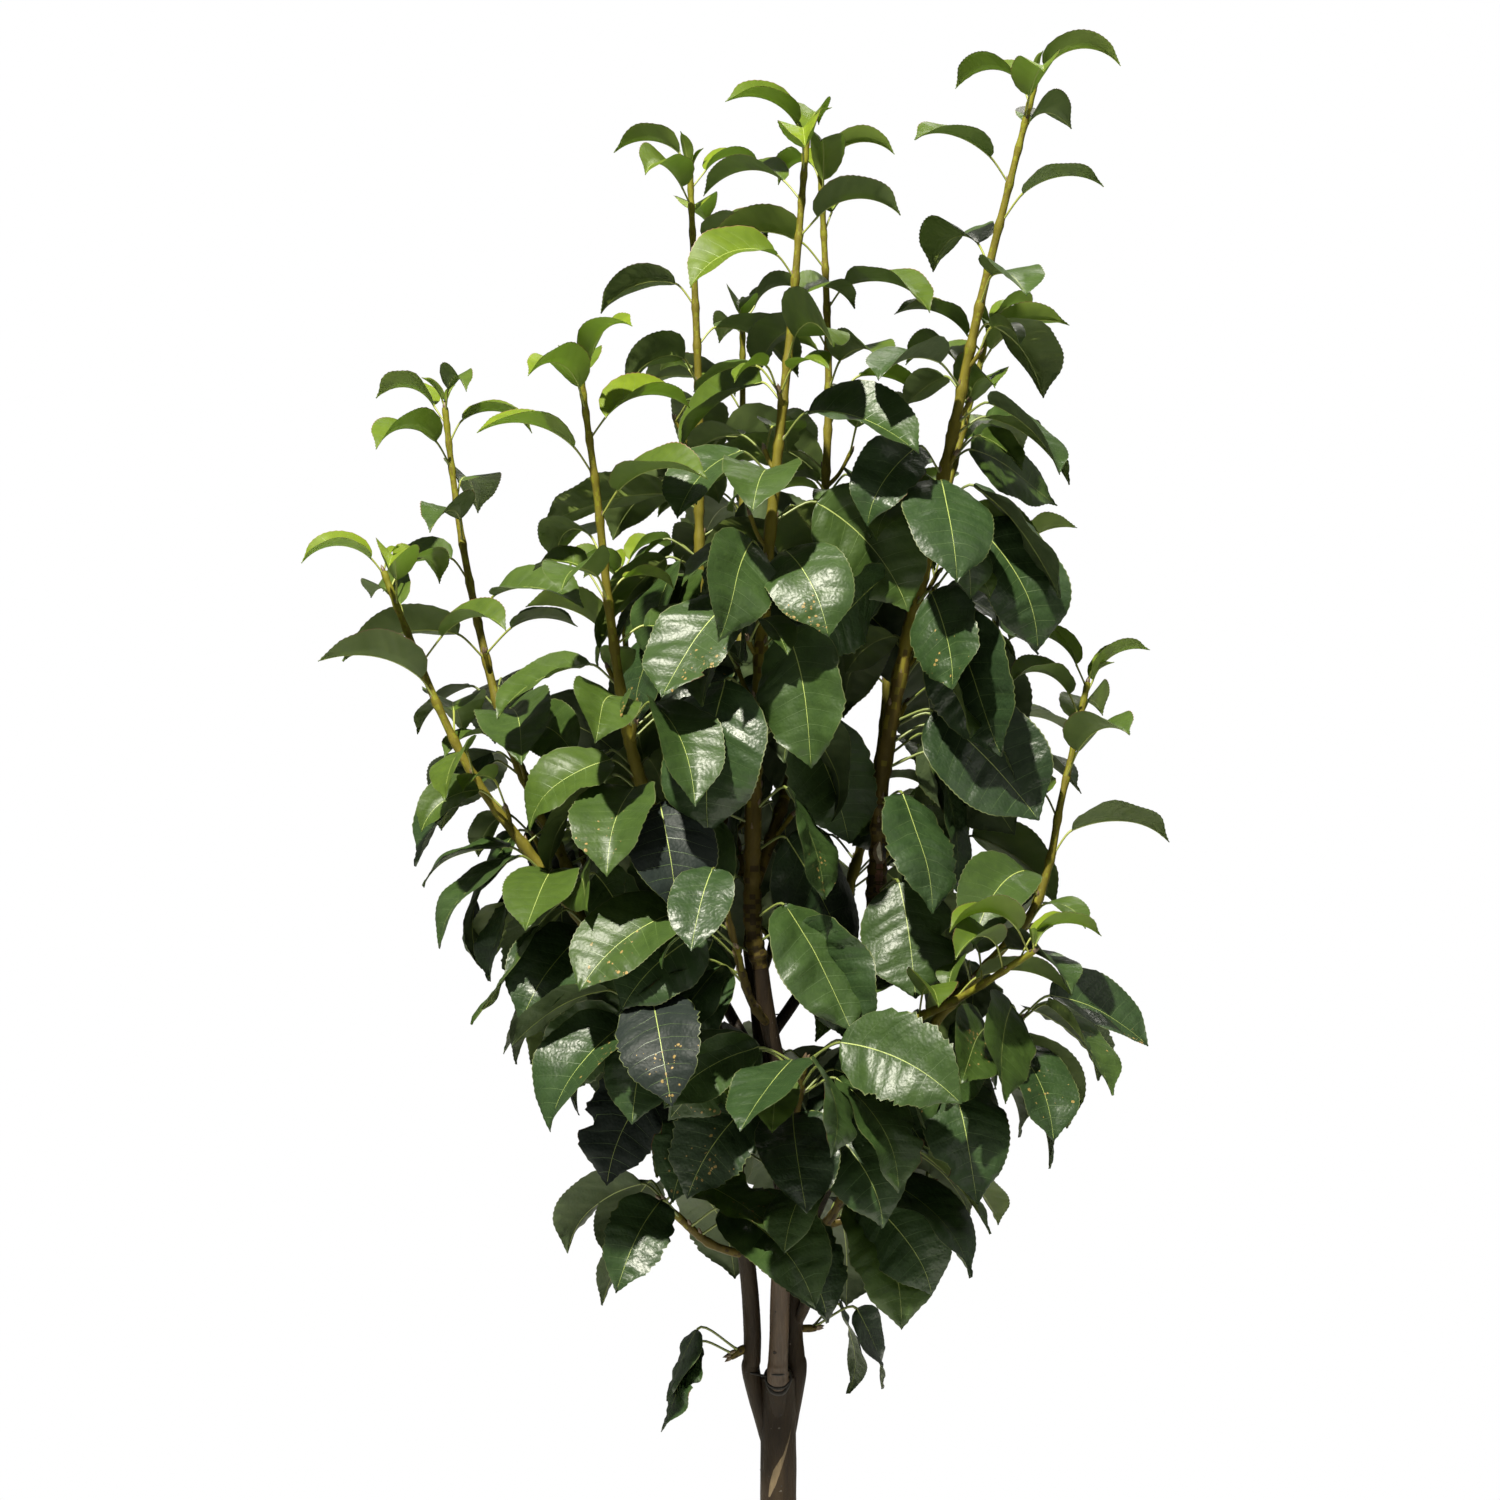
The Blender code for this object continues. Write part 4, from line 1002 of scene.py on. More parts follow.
class Blade:
    """The upper face of one leaf as a function of the share s of its length and t of its half width."""

    def __init__(self, leaf, rng, sway):
        stations = [i / STATIONS for i in range(STATIONS + 1)]
        slack = FLATTEN * leaf.age
        flat = leaf._replace(start=leaf.start - leaf.arch * slack / 2, arch=leaf.arch * (1 - slack))
        frames = leaf_frames(flat, stations)
        self.stations = np.array(stations)
        self.place = np.array([f[0] for f in frames])
        self.side = np.array([f[2] for f in frames])
        self.normal = np.array([f[3] for f in frames])
        self.leaf = leaf
        self.rows = SHORT_ROWS if leaf.length < SMALL else LONG_ROWS
        self.size = size = leaf.length / LARGE
        self.twist = rng.gauss(0.0, TWIST) * (0.4 + 0.6 * leaf.age)
        self.turn = max(-MOST_TURN, min(MOST_TURN, rng.gauss(0.0, TURN))) * leaf.age ** 1.5 * sway
        self.curl = rng.uniform(*CURL) * leaf.age
        self.droop = rng.uniform(*DROOP) * leaf.age
        self.quilt = QUILT * size * (0.35 + 0.65 * leaf.age)
        self.wave = [(rng.uniform(*WAVE) * size * (0.4 + 0.6 * leaf.age), rng.uniform(1.2, 2.8),
                      rng.uniform(0, math.tau)) for _ in range(2)]
        rough = (0.25 + 0.75 * leaf.age) * size
        self.wrinkle = [(rng.uniform(*height) * rough, rng.uniform(*along), rng.uniform(*across),
                         rng.uniform(0, math.tau))
                        for height, along, across in WRINKLES for _ in range(WRINKLES_EACH)]
        # A ragged edge is how deep it goes, its coarse and its fine waves and where they start.
        worn = leaf.age > RAGGED_AGE and rng.random() < RAGGED_SHARE
        self.ragged = (rng.uniform(0.03, 0.08) if worn else 0.0, rng.uniform(4.0, 6.5),
                       rng.uniform(9.0, 14.0), rng.uniform(0, math.tau))
        # A bite is its side, the middle of its stretch of the edge, half that stretch and its depth.
        bitten = leaf.age > BITTEN_AGE and rng.random() < BITTEN_SHARE
        self.bites = [(rng.choice((-1, 1)), rng.uniform(0.25, 0.9), rng.uniform(0.03, 0.07),
                       rng.uniform(0.10, 0.32)) for _ in range(rng.randint(1, 2) if bitten else 0)]

    def outline(self, s, t):
        """Half the width of the blade at s, on the side of t."""
        round_end = np.sqrt(np.clip(1 - ((WIDEST - s) / WIDEST) ** 2, 0.0, 1.0))
        full = lerp(1.8, 2.8, self.leaf.age)
        point = np.clip(1 - (np.clip(s - WIDEST, 0, None) / (1 - WIDEST)) ** full, 0.0, 1.0) ** 0.9
        point = point * (1 - lerp(0.42, 0.26, self.leaf.age) * smoothstep(0.78, 0.95, s))
        half = self.leaf.width / 2 * np.where(s < WIDEST, round_end, point)
        deep, coarse, fine, phase = self.ragged
        side_phase = phase + np.where(t > 0, 2.1, 0.0)
        half = half * (1 - deep * (1 + np.sin(math.tau * coarse * s + side_phase)
                                   * np.sin(math.tau * fine * s + phase)))
        for side, centre, reach, depth in self.bites:
            dent = np.sqrt(np.clip(1 - ((s - centre) / reach) ** 2, 0.0, 1.0))
            half = half * np.where(t * side > 0, 1 - depth * dent, 1.0)
        return half

    def along(self, table, s):
        """The vectors of a table with one for each station, at each s."""
        return np.stack([np.interp(s, self.stations, table[:, i]) for i in range(3)], -1)

    def at(self, s, t, lift=0.0, inset=0.0):
        """Points on the upper face. lift raises them along the normal, and inset pulls the edge in."""
        s, t = np.broadcast_arrays(np.asarray(s, float), np.asarray(t, float))
        place, side, up = (self.along(table, s) for table in (self.place, self.side, self.normal))
        turn = (self.turn + self.twist * (s - 0.35))[..., None]
        normal = up * np.cos(turn) - side * np.sin(turn)
        side = side * np.cos(turn) + up * np.sin(turn)
        reach = np.maximum(self.outline(s, t) - inset * np.abs(t), 0.0004)
        w = np.abs(t)
        rise = reach * math.sin(self.leaf.fold) * w ** 1.12 - reach * self.curl * w ** 2
        rise = rise + self.droop * self.leaf.length * np.clip(s - 0.55, 0.0, None) ** 2
        for sign, (height, waves, phase) in zip((1, -1), self.wave):
            wave = np.where(t * sign > 0, height * w ** 2 * np.sin(math.tau * waves * s + phase), 0.0)
            rise = rise + wave * smoothstep(0.0, 0.15, s) * smoothstep(1.0, 0.85, s)
        for height, a, b, phase in self.wrinkle:
            rise = rise + height * np.sin(a * s * math.tau / 2 + b * t + phase) * w * (1 - w) * 4
        out = reach * math.cos(self.leaf.fold) * t
        return place + side * out[..., None] + normal * (rise + lift)[..., None]


def row_shares(rows):
    """s and t of each point of a blade's grid, whose rows run forward like the veins, and its share of the
    blade's rise between two veins."""
    k = np.arange(rows + 1)
    u = k / rows
    u = u - BASE_ROWS * u * (1 - u) ** 4
    t = COLUMNS[None, :]
    s = u[:, None] + SLANT * smoothstep(0.0, 0.22, u)[:, None] * (1 - u[:, None]) * np.abs(t) ** 1.15
    ridge = 0.5 - 0.5 * np.cos(math.tau * k / ROWS_PER_VEIN)
    across = np.sin(math.pi * np.clip(np.abs(t), 0, 1)) ** 0.7
    return s, np.broadcast_to(t, s.shape), (ridge * smoothstep(0.0, 0.15, u))[:, None] * across


GRIDS = {rows: row_shares(rows) for rows in (LONG_ROWS, SHORT_ROWS)}


def under_step(tone):
    """The step of the under side and of the veins that goes with a tone of the upper side."""
    return 0 if tone < 2 else 1 if tone < 5 else 2


def add_leaf(leaf, line, rng, blades, ribs, tone, sway=1.0):
    """One leaf: the two faces of its blade, its midrib, its veins, its stalk and, on some, its spots.
    sway is how freely an old blade turns about its midrib."""
    blade = Blade(leaf, rng, sway)
    top, out = add_blade(blade, blades, tone)
    add_midrib(blade, ribs)
    add_veins(blade, ribs, tone)
    add_stalk(blade, leaf, line, ribs)
    if leaf.age > SPOTTED_AGE and rng.random() < SPOTTED_SHARE:
        add_spots(top, out, ribs, rng)


def side_looks(blade, pile, face, edge):
    """The surface of each face on one side of a blade, whose outer columns are its edge."""
    looks = np.full((blade.rows, len(COLUMNS) - 1), pile.surfaces.index(face))
    looks[:, 0] = looks[:, -1] = pile.surfaces.index(edge)
    return looks


def add_blade(blade, pile, tone):
    """Both sides of a blade with its toothed edge. Returns the points and the normals of the upper side."""
    s, t, ridge = GRIDS[blade.rows]
    notch = np.zeros(blade.rows + 1)
    notch[1::2] = TOOTH * min(1.0, blade.size)
    top = blade.at(s, t, blade.quilt * ridge, notch[:, None])
    thin = BLADE_THICK * (1 - np.abs(t) ** 6)[..., None]
    out = np.cross(np.gradient(top, axis=0), np.gradient(top, axis=1))
    out /= np.linalg.norm(out, axis=-1, keepdims=True)
    under = top - out * thin
    edge = "leaf_edge_0" if blade.leaf.age < 0.3 else "leaf_edge_1"
    looks = side_looks(blade, pile, f"leaf_top_{tone}", edge)
    for side, centre, reach, _ in blade.bites:
        torn = np.abs(np.arange(blade.rows) / blade.rows - centre) < reach + 0.02
        looks[torn, 0 if side < 0 else -1] = pile.surfaces.index("scorch")
    pile.add(top.reshape(-1, 3), grid(*s.shape)[:, SAME_DIAGONAL], looks.ravel())
    looks = side_looks(blade, pile, f"leaf_under_{under_step(tone)}", edge)
    pile.add(under.reshape(-1, 3), grid(*s.shape), looks.ravel())
    return top, out


def add_midrib(blade, pile):
    """A raised rib along the valley of the blade, on both of its faces."""
    look = "rib_0" if blade.leaf.age < 0.5 else "rib_1"
    s = np.linspace(0.0, RIB_END, blade.rows // 2 + 1)
    half = np.maximum(RIB_HALF * blade.size ** 0.7 * (1 - 0.8 * s), RIB_THINNEST)
    reach = np.maximum(blade.outline(s, 1.0), 0.0006)
    t = np.clip(half / reach, 0.0, 1.0)
    for lift, wide, ridge, turned in ((RIB_LIFT, 1.0, half * 0.45, True),
                                      (-BLADE_THICK, 1.2, -BLADE_THICK - half * 1.1, False)):
        lines = [blade.at(s, -t * wide, lift), blade.at(s, 0 * s, ridge), blade.at(s, t * wide, lift)]
        add_strip(pile, lines, look, turned)


def add_veins(blade, pile, tone):
    """Side veins that leave the midrib in pairs and fade before the edge."""
    t = COLUMNS[MIDRIB:-1]
    for k in range(ROWS_PER_VEIN, blade.rows - 3, ROWS_PER_VEIN):
        s = GRIDS[blade.rows][0][k, MIDRIB:-1]
        half = VEIN_HALF * (1.05 - t) / blade.leaf.length * min(1.0, blade.size)
        for sign in (-1, 1):
            lines = [blade.at(s + end * half, sign * t, VEIN_LIFT) for end in (-1, 1)]
            add_strip(pile, lines, f"vein_{under_step(tone)}", sign > 0)


def add_stalk(blade, leaf, line, pile):
    """The stalk bends from its root on the shoot into the blade's midrib."""
    foot = np.array(nearest(line, leaf.root))
    out = np.array(direction(leaf.heading, leaf.rise))
    end = blade.place[0]
    ahead = np.array(direction(leaf.heading, leaf.start))
    span = np.linalg.norm(end - foot)
    u = np.linspace(0, 1, 8)[:, None]
    a, b = out * span, ahead * span * 0.7
    points = ((2 * u ** 3 - 3 * u ** 2 + 1) * foot + (u ** 3 - 2 * u ** 2 + u) * a
              + (-2 * u ** 3 + 3 * u ** 2) * end + (u ** 3 - u ** 2) * b)
    radii = lerp(*STALK_GIRTH, leaf.age) * (1 + 0.9 * np.exp(-u[:, 0] * 14) + 0.25 * u[:, 0] ** 4)
    add_tube(pile, points, radii, 6, "stalk_0" if leaf.age < 0.5 else "stalk_1")


def between(table, row, column):
    """The value of a grid between its rows and columns."""
    i, j = int(row), int(column)
    a, b = row - i, column - j
    low = (1 - b) * table[i, j] + b * table[i, j + 1]
    high = (1 - b) * table[i + 1, j] + b * table[i + 1, j + 1]
    return (1 - a) * low + a * high


def add_spots(top, out, pile, rng):
    """Small raised lesions in a loose cluster on the upper face."""
    rows, columns = top.shape[0] - 1, top.shape[1] - 1
    row, column = rng.uniform(0.3, 0.75) * rows, rng.uniform(0.2, 0.8) * columns
    for _ in range(rng.randint(*SPOTS)):
        k = min(0.92 * rows, max(0.1 * rows, rng.gauss(row, SPOT_SPREAD[0] * rows)))
        j = min(columns - 1.1, max(1.1, rng.gauss(column, SPOT_SPREAD[1])))
        centre, up = between(top, k, j), between(out, k, j)
        side = np.cross(up, top[-1, MIDRIB] - top[0, MIDRIB])
        side /= np.linalg.norm(side)
        ahead = np.cross(side, up)
        size = SPOT_SIZE[0] + SPOT_SIZE[1] * rng.random() ** 2
        ring = []
        for n in range(SPOT_SIDES):
            angle, reach = math.tau * n / SPOT_SIDES, size * rng.uniform(0.6, 1.1)
            ring.append(centre + up * 0.00006 + reach * (side * math.cos(angle) + ahead * math.sin(angle)))
        pile.add(np.vstack([ring, centre + up * SPOT_HEIGHT]), fan(SPOT_SIDES), "spot")


# Shoots, bark, pot and soil

TONES_BY_AGE = (0.6, 6.2)  # the middle tone of the youngest and of the oldest leaves
TONE_WANDER = (-1.3, 1.2)
SPRAY_WANDER = 0.5  # how far the leaves of one shoot are all lighter or darker, in steps of tone
PAINTED_SHADE = 0.5  # painted shade of the lower crown: by how many steps of tone a base age of 1 darkens the leaves of a low shoot
TWIG_TONE = -0.8  # how much lighter the leaves of the finer twigs are
TWIG_BASE_AGE = 0.4  # the age by which those twigs are coloured
SLATE_SHARE = 0.36
SLATE_AGE = 0.7

SHOOT_SIDES = 10
SHOOT_SPACING = 0.0035
# The colour of a shoot: distances from its tip, and the step of SHOOTS at each.
SHOOT_STEPS = ((0.0, 0.08, 0.40, 0.62, 0.85), (0.0, 0.7, 1.2, 2.6, 4.0))
SHOOT_AGED = 2.2  # by how many steps a base age of 1 browns it
SHOOT_WANDER = 0.45  # how many steps a face differs from its neighbours
NODE_SWELL = 0.28  # how much thicker a shoot is where a leaf stands
NODE_REACH = 0.0042
# A bud: shares of its length, and of its full radius at each.
BUD_SHAPE = ((0.0, 0.2, 0.45, 0.7, 0.9, 1.0), (0.75, 1.0, 0.95, 0.6, 0.25, 0.05))
BUD_RADIUS = 0.0013
BUD_LENGTH = 0.0052
AXIL_BUD = (0.7, 1.35)  # the size of the bud beside the youngest and the oldest leaf
TIP_BUD = 1.3


def tone_of(leaf, rng, spray, name):
    """The leaf's place in TOPS, from its age, its spray with any painted shade, and chance. Some of the
    oldest in the slate masses are slate: a waxy bloom with painted shade and a painted sky reflection.
    """
    by_age = lerp(*TONES_BY_AGE, leaf.age ** 0.8)
    tone = int(min(len(TOPS) - 1, max(0, round(by_age + spray + rng.uniform(*TONE_WANDER)))))
    slate = rng.random() < SLATE_SHARE and name in SLATE_MASSES and leaf.age > SLATE_AGE
    return SLATE_TONE if slate else tone


def shoot_looks(along, base_age):
    """The colour step of each face of a shoot, olive at its tip and brown at its foot."""
    total = along[-1]
    from_tip = total - along[:-1]
    steps = np.interp(from_tip, *SHOOT_STEPS) + SHOOT_AGED * base_age
    rng = np.random.default_rng(int(total * 1e5))
    wander = rng.uniform(-SHOOT_WANDER, SHOOT_WANDER, (len(from_tip), SHOOT_SIDES))
    return np.clip(np.round(steps[:, None] + wander), 0, len(SHOOTS) - 1).astype(int).ravel()


def add_shoot(pile, points, radii, leaves, base_age):
    """A ringed shoot, thicker at its nodes, with a bud in the axil of each leaf and one at its tip. Returns
    its line."""
    points, radii = fine_line(points, radii, SHOOT_SPACING)
    swell = np.zeros(len(points))
    for leaf in leaves:
        near = np.linalg.norm(points - np.array(leaf.root), axis=1)
        swell = np.maximum(swell, np.exp(-(near / NODE_REACH) ** 2))
    looks = shoot_looks(run_along(points), base_age)
    add_tube(pile, points, radii * (1 + NODE_SWELL * swell), SHOOT_SIDES, looks)
    line = [Vector(p) for p in points]
    for leaf in leaves:
        foot = nearest(line, leaf.root)
        out = direction(leaf.heading, math.radians(25))
        i = min(range(len(line)), key=lambda k: (line[k] - foot).length)
        ahead = (line[min(i + 1, len(line) - 1)] - line[max(i - 1, 0)]).normalized()
        size = lerp(*AXIL_BUD, leaf.age)
        add_bud(pile, foot + out * radii[i] * 0.8 + ahead * 0.0015, (out * 0.5 + ahead).normalized(), size)
    ahead = (line[-1] - line[-2]).normalized()
    add_bud(pile, line[-1] - ahead * 0.001, ahead, TIP_BUD)
    return line


def add_bud(pile, foot, ahead, size):
    """A plump bud with a blunt point."""
    shares, radii = np.array(BUD_SHAPE)
    points = np.array(foot) + shares[:, None] * np.array(ahead) * BUD_LENGTH * size
    add_tube(pile, points, radii * BUD_RADIUS * size, 6, "bud")


# The relief of bark, each form a share of its depth, and how fine it is round a limb and along it.
LUMPS, FURROWS, CREASES = (0.9, 60, 32), (0.5, 320, 45), (0.25, 90, 700)
TRUNK_RELIEF, BOUGH_RELIEF, STUMP_RELIEF = 0.0007, 0.0004, 0.0003


def add_bark(pile, line, thick, sides, look, depth, seed, caps=True):
    """The bark of a limb, in relief. Returns the points on its skin."""
    return add_tube(pile, line, thick, sides, look, bark_relief(line, thick, sides, depth, seed), caps)


def bark_relief(points, radii, sides, depth, seed):
    """Lumps, lengthwise furrows and fine crosswise creases round a limb."""
    relief = np.zeros((len(points), sides))
    for i, (p, r) in enumerate(zip(points, radii)):
        for j in range(sides):
            angle = math.tau * j / sides
            x, y = math.cos(angle) * r, math.sin(angle) * r
            lump = noise.noise(Vector((x * LUMPS[1] + seed, y * LUMPS[1], p[2] * LUMPS[2])))
            furrow = noise.noise(Vector((x * FURROWS[1], y * FURROWS[1] + seed, p[2] * FURROWS[2])))
            crease = noise.noise(Vector((x * CREASES[1], y * CREASES[1], p[2] * CREASES[2] + seed)))
            relief[i, j] = depth * (LUMPS[0] * lump + FURROWS[0] * furrow + CREASES[0] * crease)
    return relief


BARK_LOOKS = ["bark", "bark_warm", "bark_grey", "bark_dark", "bark_tan", "bark_red", "cut_wood"]
LIT_WARM_BOUGH = "leader"
WARM = (0.548, 0.720)  # heights between which its bark is warmer and lighter, partly its own pinkish tone and partly painted light, from the ring where it leaves the trunk
TRUNK_BARK_SIDES = 48
BOUGH_BARK_SIDES = 20
STUMP_SIDES = 18
BARK_SPACING = (0.0022, 0.0030, 0.002)  # of the rings of points on the trunk, a bough and the stump
BRANCH_COLLAR = (0.5, 0.014)  # how much thicker a side bough is at its foot, and how far up that reaches
STUB_THICK = (0.8, 1.05)  # a main stem's girth inside the trunk and at its bend, to its own


def build_bark(boughs):
    """The trunk's and the boughs' bark. Returns both piles, whose faces the scars and pores lie on."""
    trunk = Pile("trunk_bark", "bark", BARK_LOOKS)
    add_bark(trunk, *fine_line(*trunk_line(), BARK_SPACING[0]), TRUNK_BARK_SIDES, "bark", TRUNK_RELIEF, 3.0)
    trunk.make(["trunk"])
    limbs = Pile("bough_bark", "bark", BARK_LOOKS)
    for n, limb in enumerate(LIMBS):
        points, radii = boughs[limb.name]
        points, radii = list(points), list(radii)
        if limb.parent == "trunk":
            ahead = (points[1] - points[0]).normalized()
            bend = points[0] - ahead * STUB_STRAIGHT
            points = [Vector((points[0].x * 0.3, points[0].y * 0.3, STUB_ROOT)), bend] + points
            radii = [limb.thick * share for share in STUB_THICK] + radii
        line, thick = fine_line(points, radii, BARK_SPACING[1])
        if limb.parent != "trunk":
            swell, reach = BRANCH_COLLAR
            thick = thick * (1 + swell * np.exp(-(run_along(line) / reach) ** 2))
        # Painted light: the lit stretch of the leader's foot takes the warmer, lighter bark.
        warm = (line[:-1, 2] > WARM[0]) * (line[:-1, 2] < WARM[1]) * (limb.name == LIT_WARM_BOUGH)
        looks = np.repeat(warm, BOUGH_BARK_SIDES).astype(int)
        add_bark(limbs, line, thick, BOUGH_BARK_SIDES, looks, BOUGH_RELIEF, 7.0 + n)
    stump = [Vector(p) for p in PRUNED_ROUTE]
    line, thick = fine_line(stump, [PRUNED_RADIUS] * 3, BARK_SPACING[2])
    ring = add_bark(limbs, line, thick, STUMP_SIDES, "bark", STUMP_RELIEF, 31.0, caps=False)[-1]
    ahead = (stump[-1] - stump[-2]).normalized()
    centre = np.array(stump[-1] + ahead * 0.0003)
    limbs.add(np.vstack([ring, centre]), fan(STUMP_SIDES), "cut_wood")
    limbs.make(["bough_" + limb.name for limb in LIMBS])
    return trunk, limbs


# Places on the front of the bark are x and z in metres, as the camera sees them. The crack, the face of the
# collar and the scar's parts are rows from top to foot, each a height and its left and right end.
CRACK = ((0.5198, 0.0087, 0.0087), (0.5110, 0.0062, 0.0073), (0.5010, 0.0027, 0.0048),
         (0.4900, -0.0050, 0.0017), (0.4790, -0.0078, -0.0022), (0.4695, -0.0084, -0.0070))
SCAR_LIMB = "tall_right"
SCAR_HEIGHT = 0.945
SCAR = (  # heights from SCAR_HEIGHT, and ends from the middle of the limb
    ("bark_red", 0.00015, ((0.002, -0.0010, 0.0040), (-0.010, -0.0026, 0.0050), (-0.022, -0.0010, 0.0056),
                           (-0.032, 0.0030, 0.0052))),
    ("bark_tan", 0.00060, ((0.0150, -0.0004, 0.0006), (0.0105, -0.0044, 0.0030), (0.0060, -0.0048, 0.0044),
                           (0.0015, -0.0034, 0.0052), (-0.0025, -0.0010, 0.0040))),
    ("bark_dark", 0.00085, ((0.0130, 0.0026, 0.0036), (0.0085, 0.0018, 0.0058), (0.0040, 0.0024, 0.0058),
                            (0.0010, 0.0040, 0.0050))),
    ("cut_wood", 0.00100, ((0.0142, 0.0000, 0.0006), (0.0090, -0.0024, 0.0018), (0.0045, -0.0016, 0.0026),
                           (0.0000, 0.0010, 0.0028))),
)
COLLAR = (-0.0007, -0.0045)  # the middle, in plan, of the rings where the leader leaves the trunk
COLLAR_RINGS = (  # lowest height, rise to the ends, half the turn, half the girth
    (0.5470, 0.0160, 1.75, 0.00165),
    (0.5512, 0.0090, 1.15, 0.00125),
    (0.5615, 0.0002, 0.42, 0.00100),
)
COLLAR_FACE = ((0.5625, -0.0090, 0.0080), (0.5580, -0.0098, 0.0088), (0.5530, -0.0078, 0.0066),
               (0.5490, -0.0035, 0.0022))
KNOT = (-0.0037, 0.5783)  # on the leader's foot
FROM_FRONT = -1.0  # the y from which places on the front are looked for
BACKWARD = Vector((0.0, 1.0, 0.0))
SUNK = 0.0001  # how far the rim of a patch or a mound is sunk into the bark
FLAT_LIFT = 0.00030  # how far the crack and the face of the collar stand out
SCAR_RISE = 0.02  # over this height the lean of the scar's limb is measured
RING_SHARES = (0.3, 0.72)  # how far up a bough its rings are, as shares of its length
RING_GIRTH = 0.00035
RING_WAVE = 0.0008
PORE_SIZE = (0.0004, 0.0009)
PORE_WIDTH = (1.0, 1.8)  # to its height
PORE_AREA = 0.00026  # square metres of bark to each pore


def build_scars(boughs, masses, piles):
    """Pores, rings, a knot, a long crack and a pruning scar, laid on the faces of the piles."""
    points = np.concatenate([p for pile in piles for p in pile.points])
    faces, start = [], 0
    for pile in piles:
        faces += [f.tolist() for array in pile.faces for f in array + start]
        start += pile.count
    skin = BVHTree.FromPolygons(points.tolist(), faces)
    scars = Pile("bark_scars", "bark", BARK_LOOKS)
    add_patch(scars, skin, CRACK, "bark_tan", FLAT_LIFT)
    # The face of the collar takes that bark too, with its painted light.
    add_patch(scars, skin, COLLAR_FACE, "bark_warm", FLAT_LIFT)
    line = boughs[SCAR_LIMB][0] + next(mass.lines[0][0] for mass in masses if mass.name == SCAR_LIMB)
    heights = (SCAR_HEIGHT, SCAR_HEIGHT + SCAR_RISE)
    across, above = np.interp(heights, [p.z for p in line], [p.x for p in line])
    lean = above - across
    for look, lift, rows in SCAR:
        placed = []
        for up, low, high in rows:
            middle = across + lean * up / SCAR_RISE
            placed.append((SCAR_HEIGHT + up, middle + low, middle + high))
        add_patch(scars, skin, placed, look, lift)
    knot = Vector((KNOT[0], FROM_FRONT, KNOT[1]))
    add_disc(scars, skin, knot, BACKWARD, 0.0026, 0.0019, "bark", 0.0005)
    add_disc(scars, skin, knot, BACKWARD, 0.0019, 0.0011, "bark_dark", 0.0008)
    for lowest, rise, half, girth in COLLAR_RINGS:
        turns = np.linspace(-half, half, 25)
        heights = lowest + rise * 2 * np.sin(turns / 2) ** 2
        add_ring(scars, skin, COLLAR, turns, heights, girth)
    rng = random.Random("pores")
    for limb in LIMBS:
        points, radii = boughs[limb.name]
        add_pores(scars, skin, rng, points, radii)
        for share in RING_SHARES:
            place = points[0].lerp(points[-1], share)
            place = min(fine_line(points, radii, 0.003)[0].tolist(), key=lambda p: abs(p[2] - place.z))
            turns = np.linspace(0, math.tau, 33)
            heights = place[2] + RING_WAVE * np.sin(turns + 9 * share)
            add_ring(scars, skin, place[:2], turns, heights, RING_GIRTH)
    add_pores(scars, skin, rng, *trunk_line())
    scars.make()


def add_patch(pile, skin, rows, look, lift):
    """A thin patch on the front of the skin, whose rim is sunk into it."""
    columns = 9
    places = np.linspace(0, len(rows) - 1, 6 * len(rows))
    heights, lefts, rights = [np.interp(places, range(len(rows)), values) for values in zip(*rows)]
    points = []
    for z, low, high in zip(heights, lefts, rights):
        for t in np.linspace(-1, 1, columns):
            start = Vector((lerp(low, high, (t + 1) / 2), FROM_FRONT, z))
            hit, normal, _, _ = skin.ray_cast(start, BACKWARD)
            if hit is None:
                return
            points.append(hit + normal * (lift * (1 - t ** 4) - SUNK))
    pile.add(points, grid(len(heights), columns)[:, ::-1], look)


def add_disc(pile, skin, start, ahead, wide, high, look, lift):
    """A small oval mound where a ray from the start meets the skin."""
    hit, normal, _, _ = skin.ray_cast(start, ahead)
    if hit is None:
        return
    side = normal.cross(Vector((0, 0, 1))).normalized()
    up = side.cross(normal).normalized()
    sides = 8
    ring = []
    for n in range(sides):
        angle = math.tau * n / sides
        near = skin.find_nearest(hit + side * wide * math.cos(angle) + up * high * math.sin(angle))
        ring.append(near[0] - near[1] * SUNK)
    pile.add(ring + [hit + normal * lift], fan(sides, True), look)


def add_ring(pile, skin, middle, turns, heights, girth):
    """A dark crease round a limb. Turns are angles from the front, and the girth fades at open ends."""
    points = []
    for turn, z in zip(turns, heights):
        out = Vector((math.sin(turn), -math.cos(turn), 0.0))
        hit, _, _, _ = skin.ray_cast(Vector((middle[0], middle[1], z)) + out * 0.022, -out)
        if hit is None:
            return
        points.append(hit)
    closed = abs(turns[-1] - turns[0]) > 6.2
    shares = np.linspace(-1, 1, len(points))
    radii = girth * (np.ones(len(points)) if closed else np.sqrt(1.02 - shares ** 2))
    add_tube(pile, points, radii, 6, "bark_dark")


def add_pores(pile, skin, rng, points, radii):
    """Small oval pores strewn over a limb, longer across it than along it."""
    length = lengths_along(points)[-1]
    count = round(math.tau * sum(radii) / len(radii) * length / PORE_AREA)
    for _ in range(count):
        place, _ = at_distance(list(reversed(points)), rng.uniform(0.01, 0.99) * length)
        out = direction(rng.uniform(-math.pi, math.pi), 0.0)
        size = rng.uniform(*PORE_SIZE)
        look = rng.choice(("bark_dark", "bark_dark", "bark_grey"))
        wide = size * rng.uniform(*PORE_WIDTH)
        add_disc(pile, skin, Vector(place) + out * 0.03, -out, wide, size, look, size * 0.5)


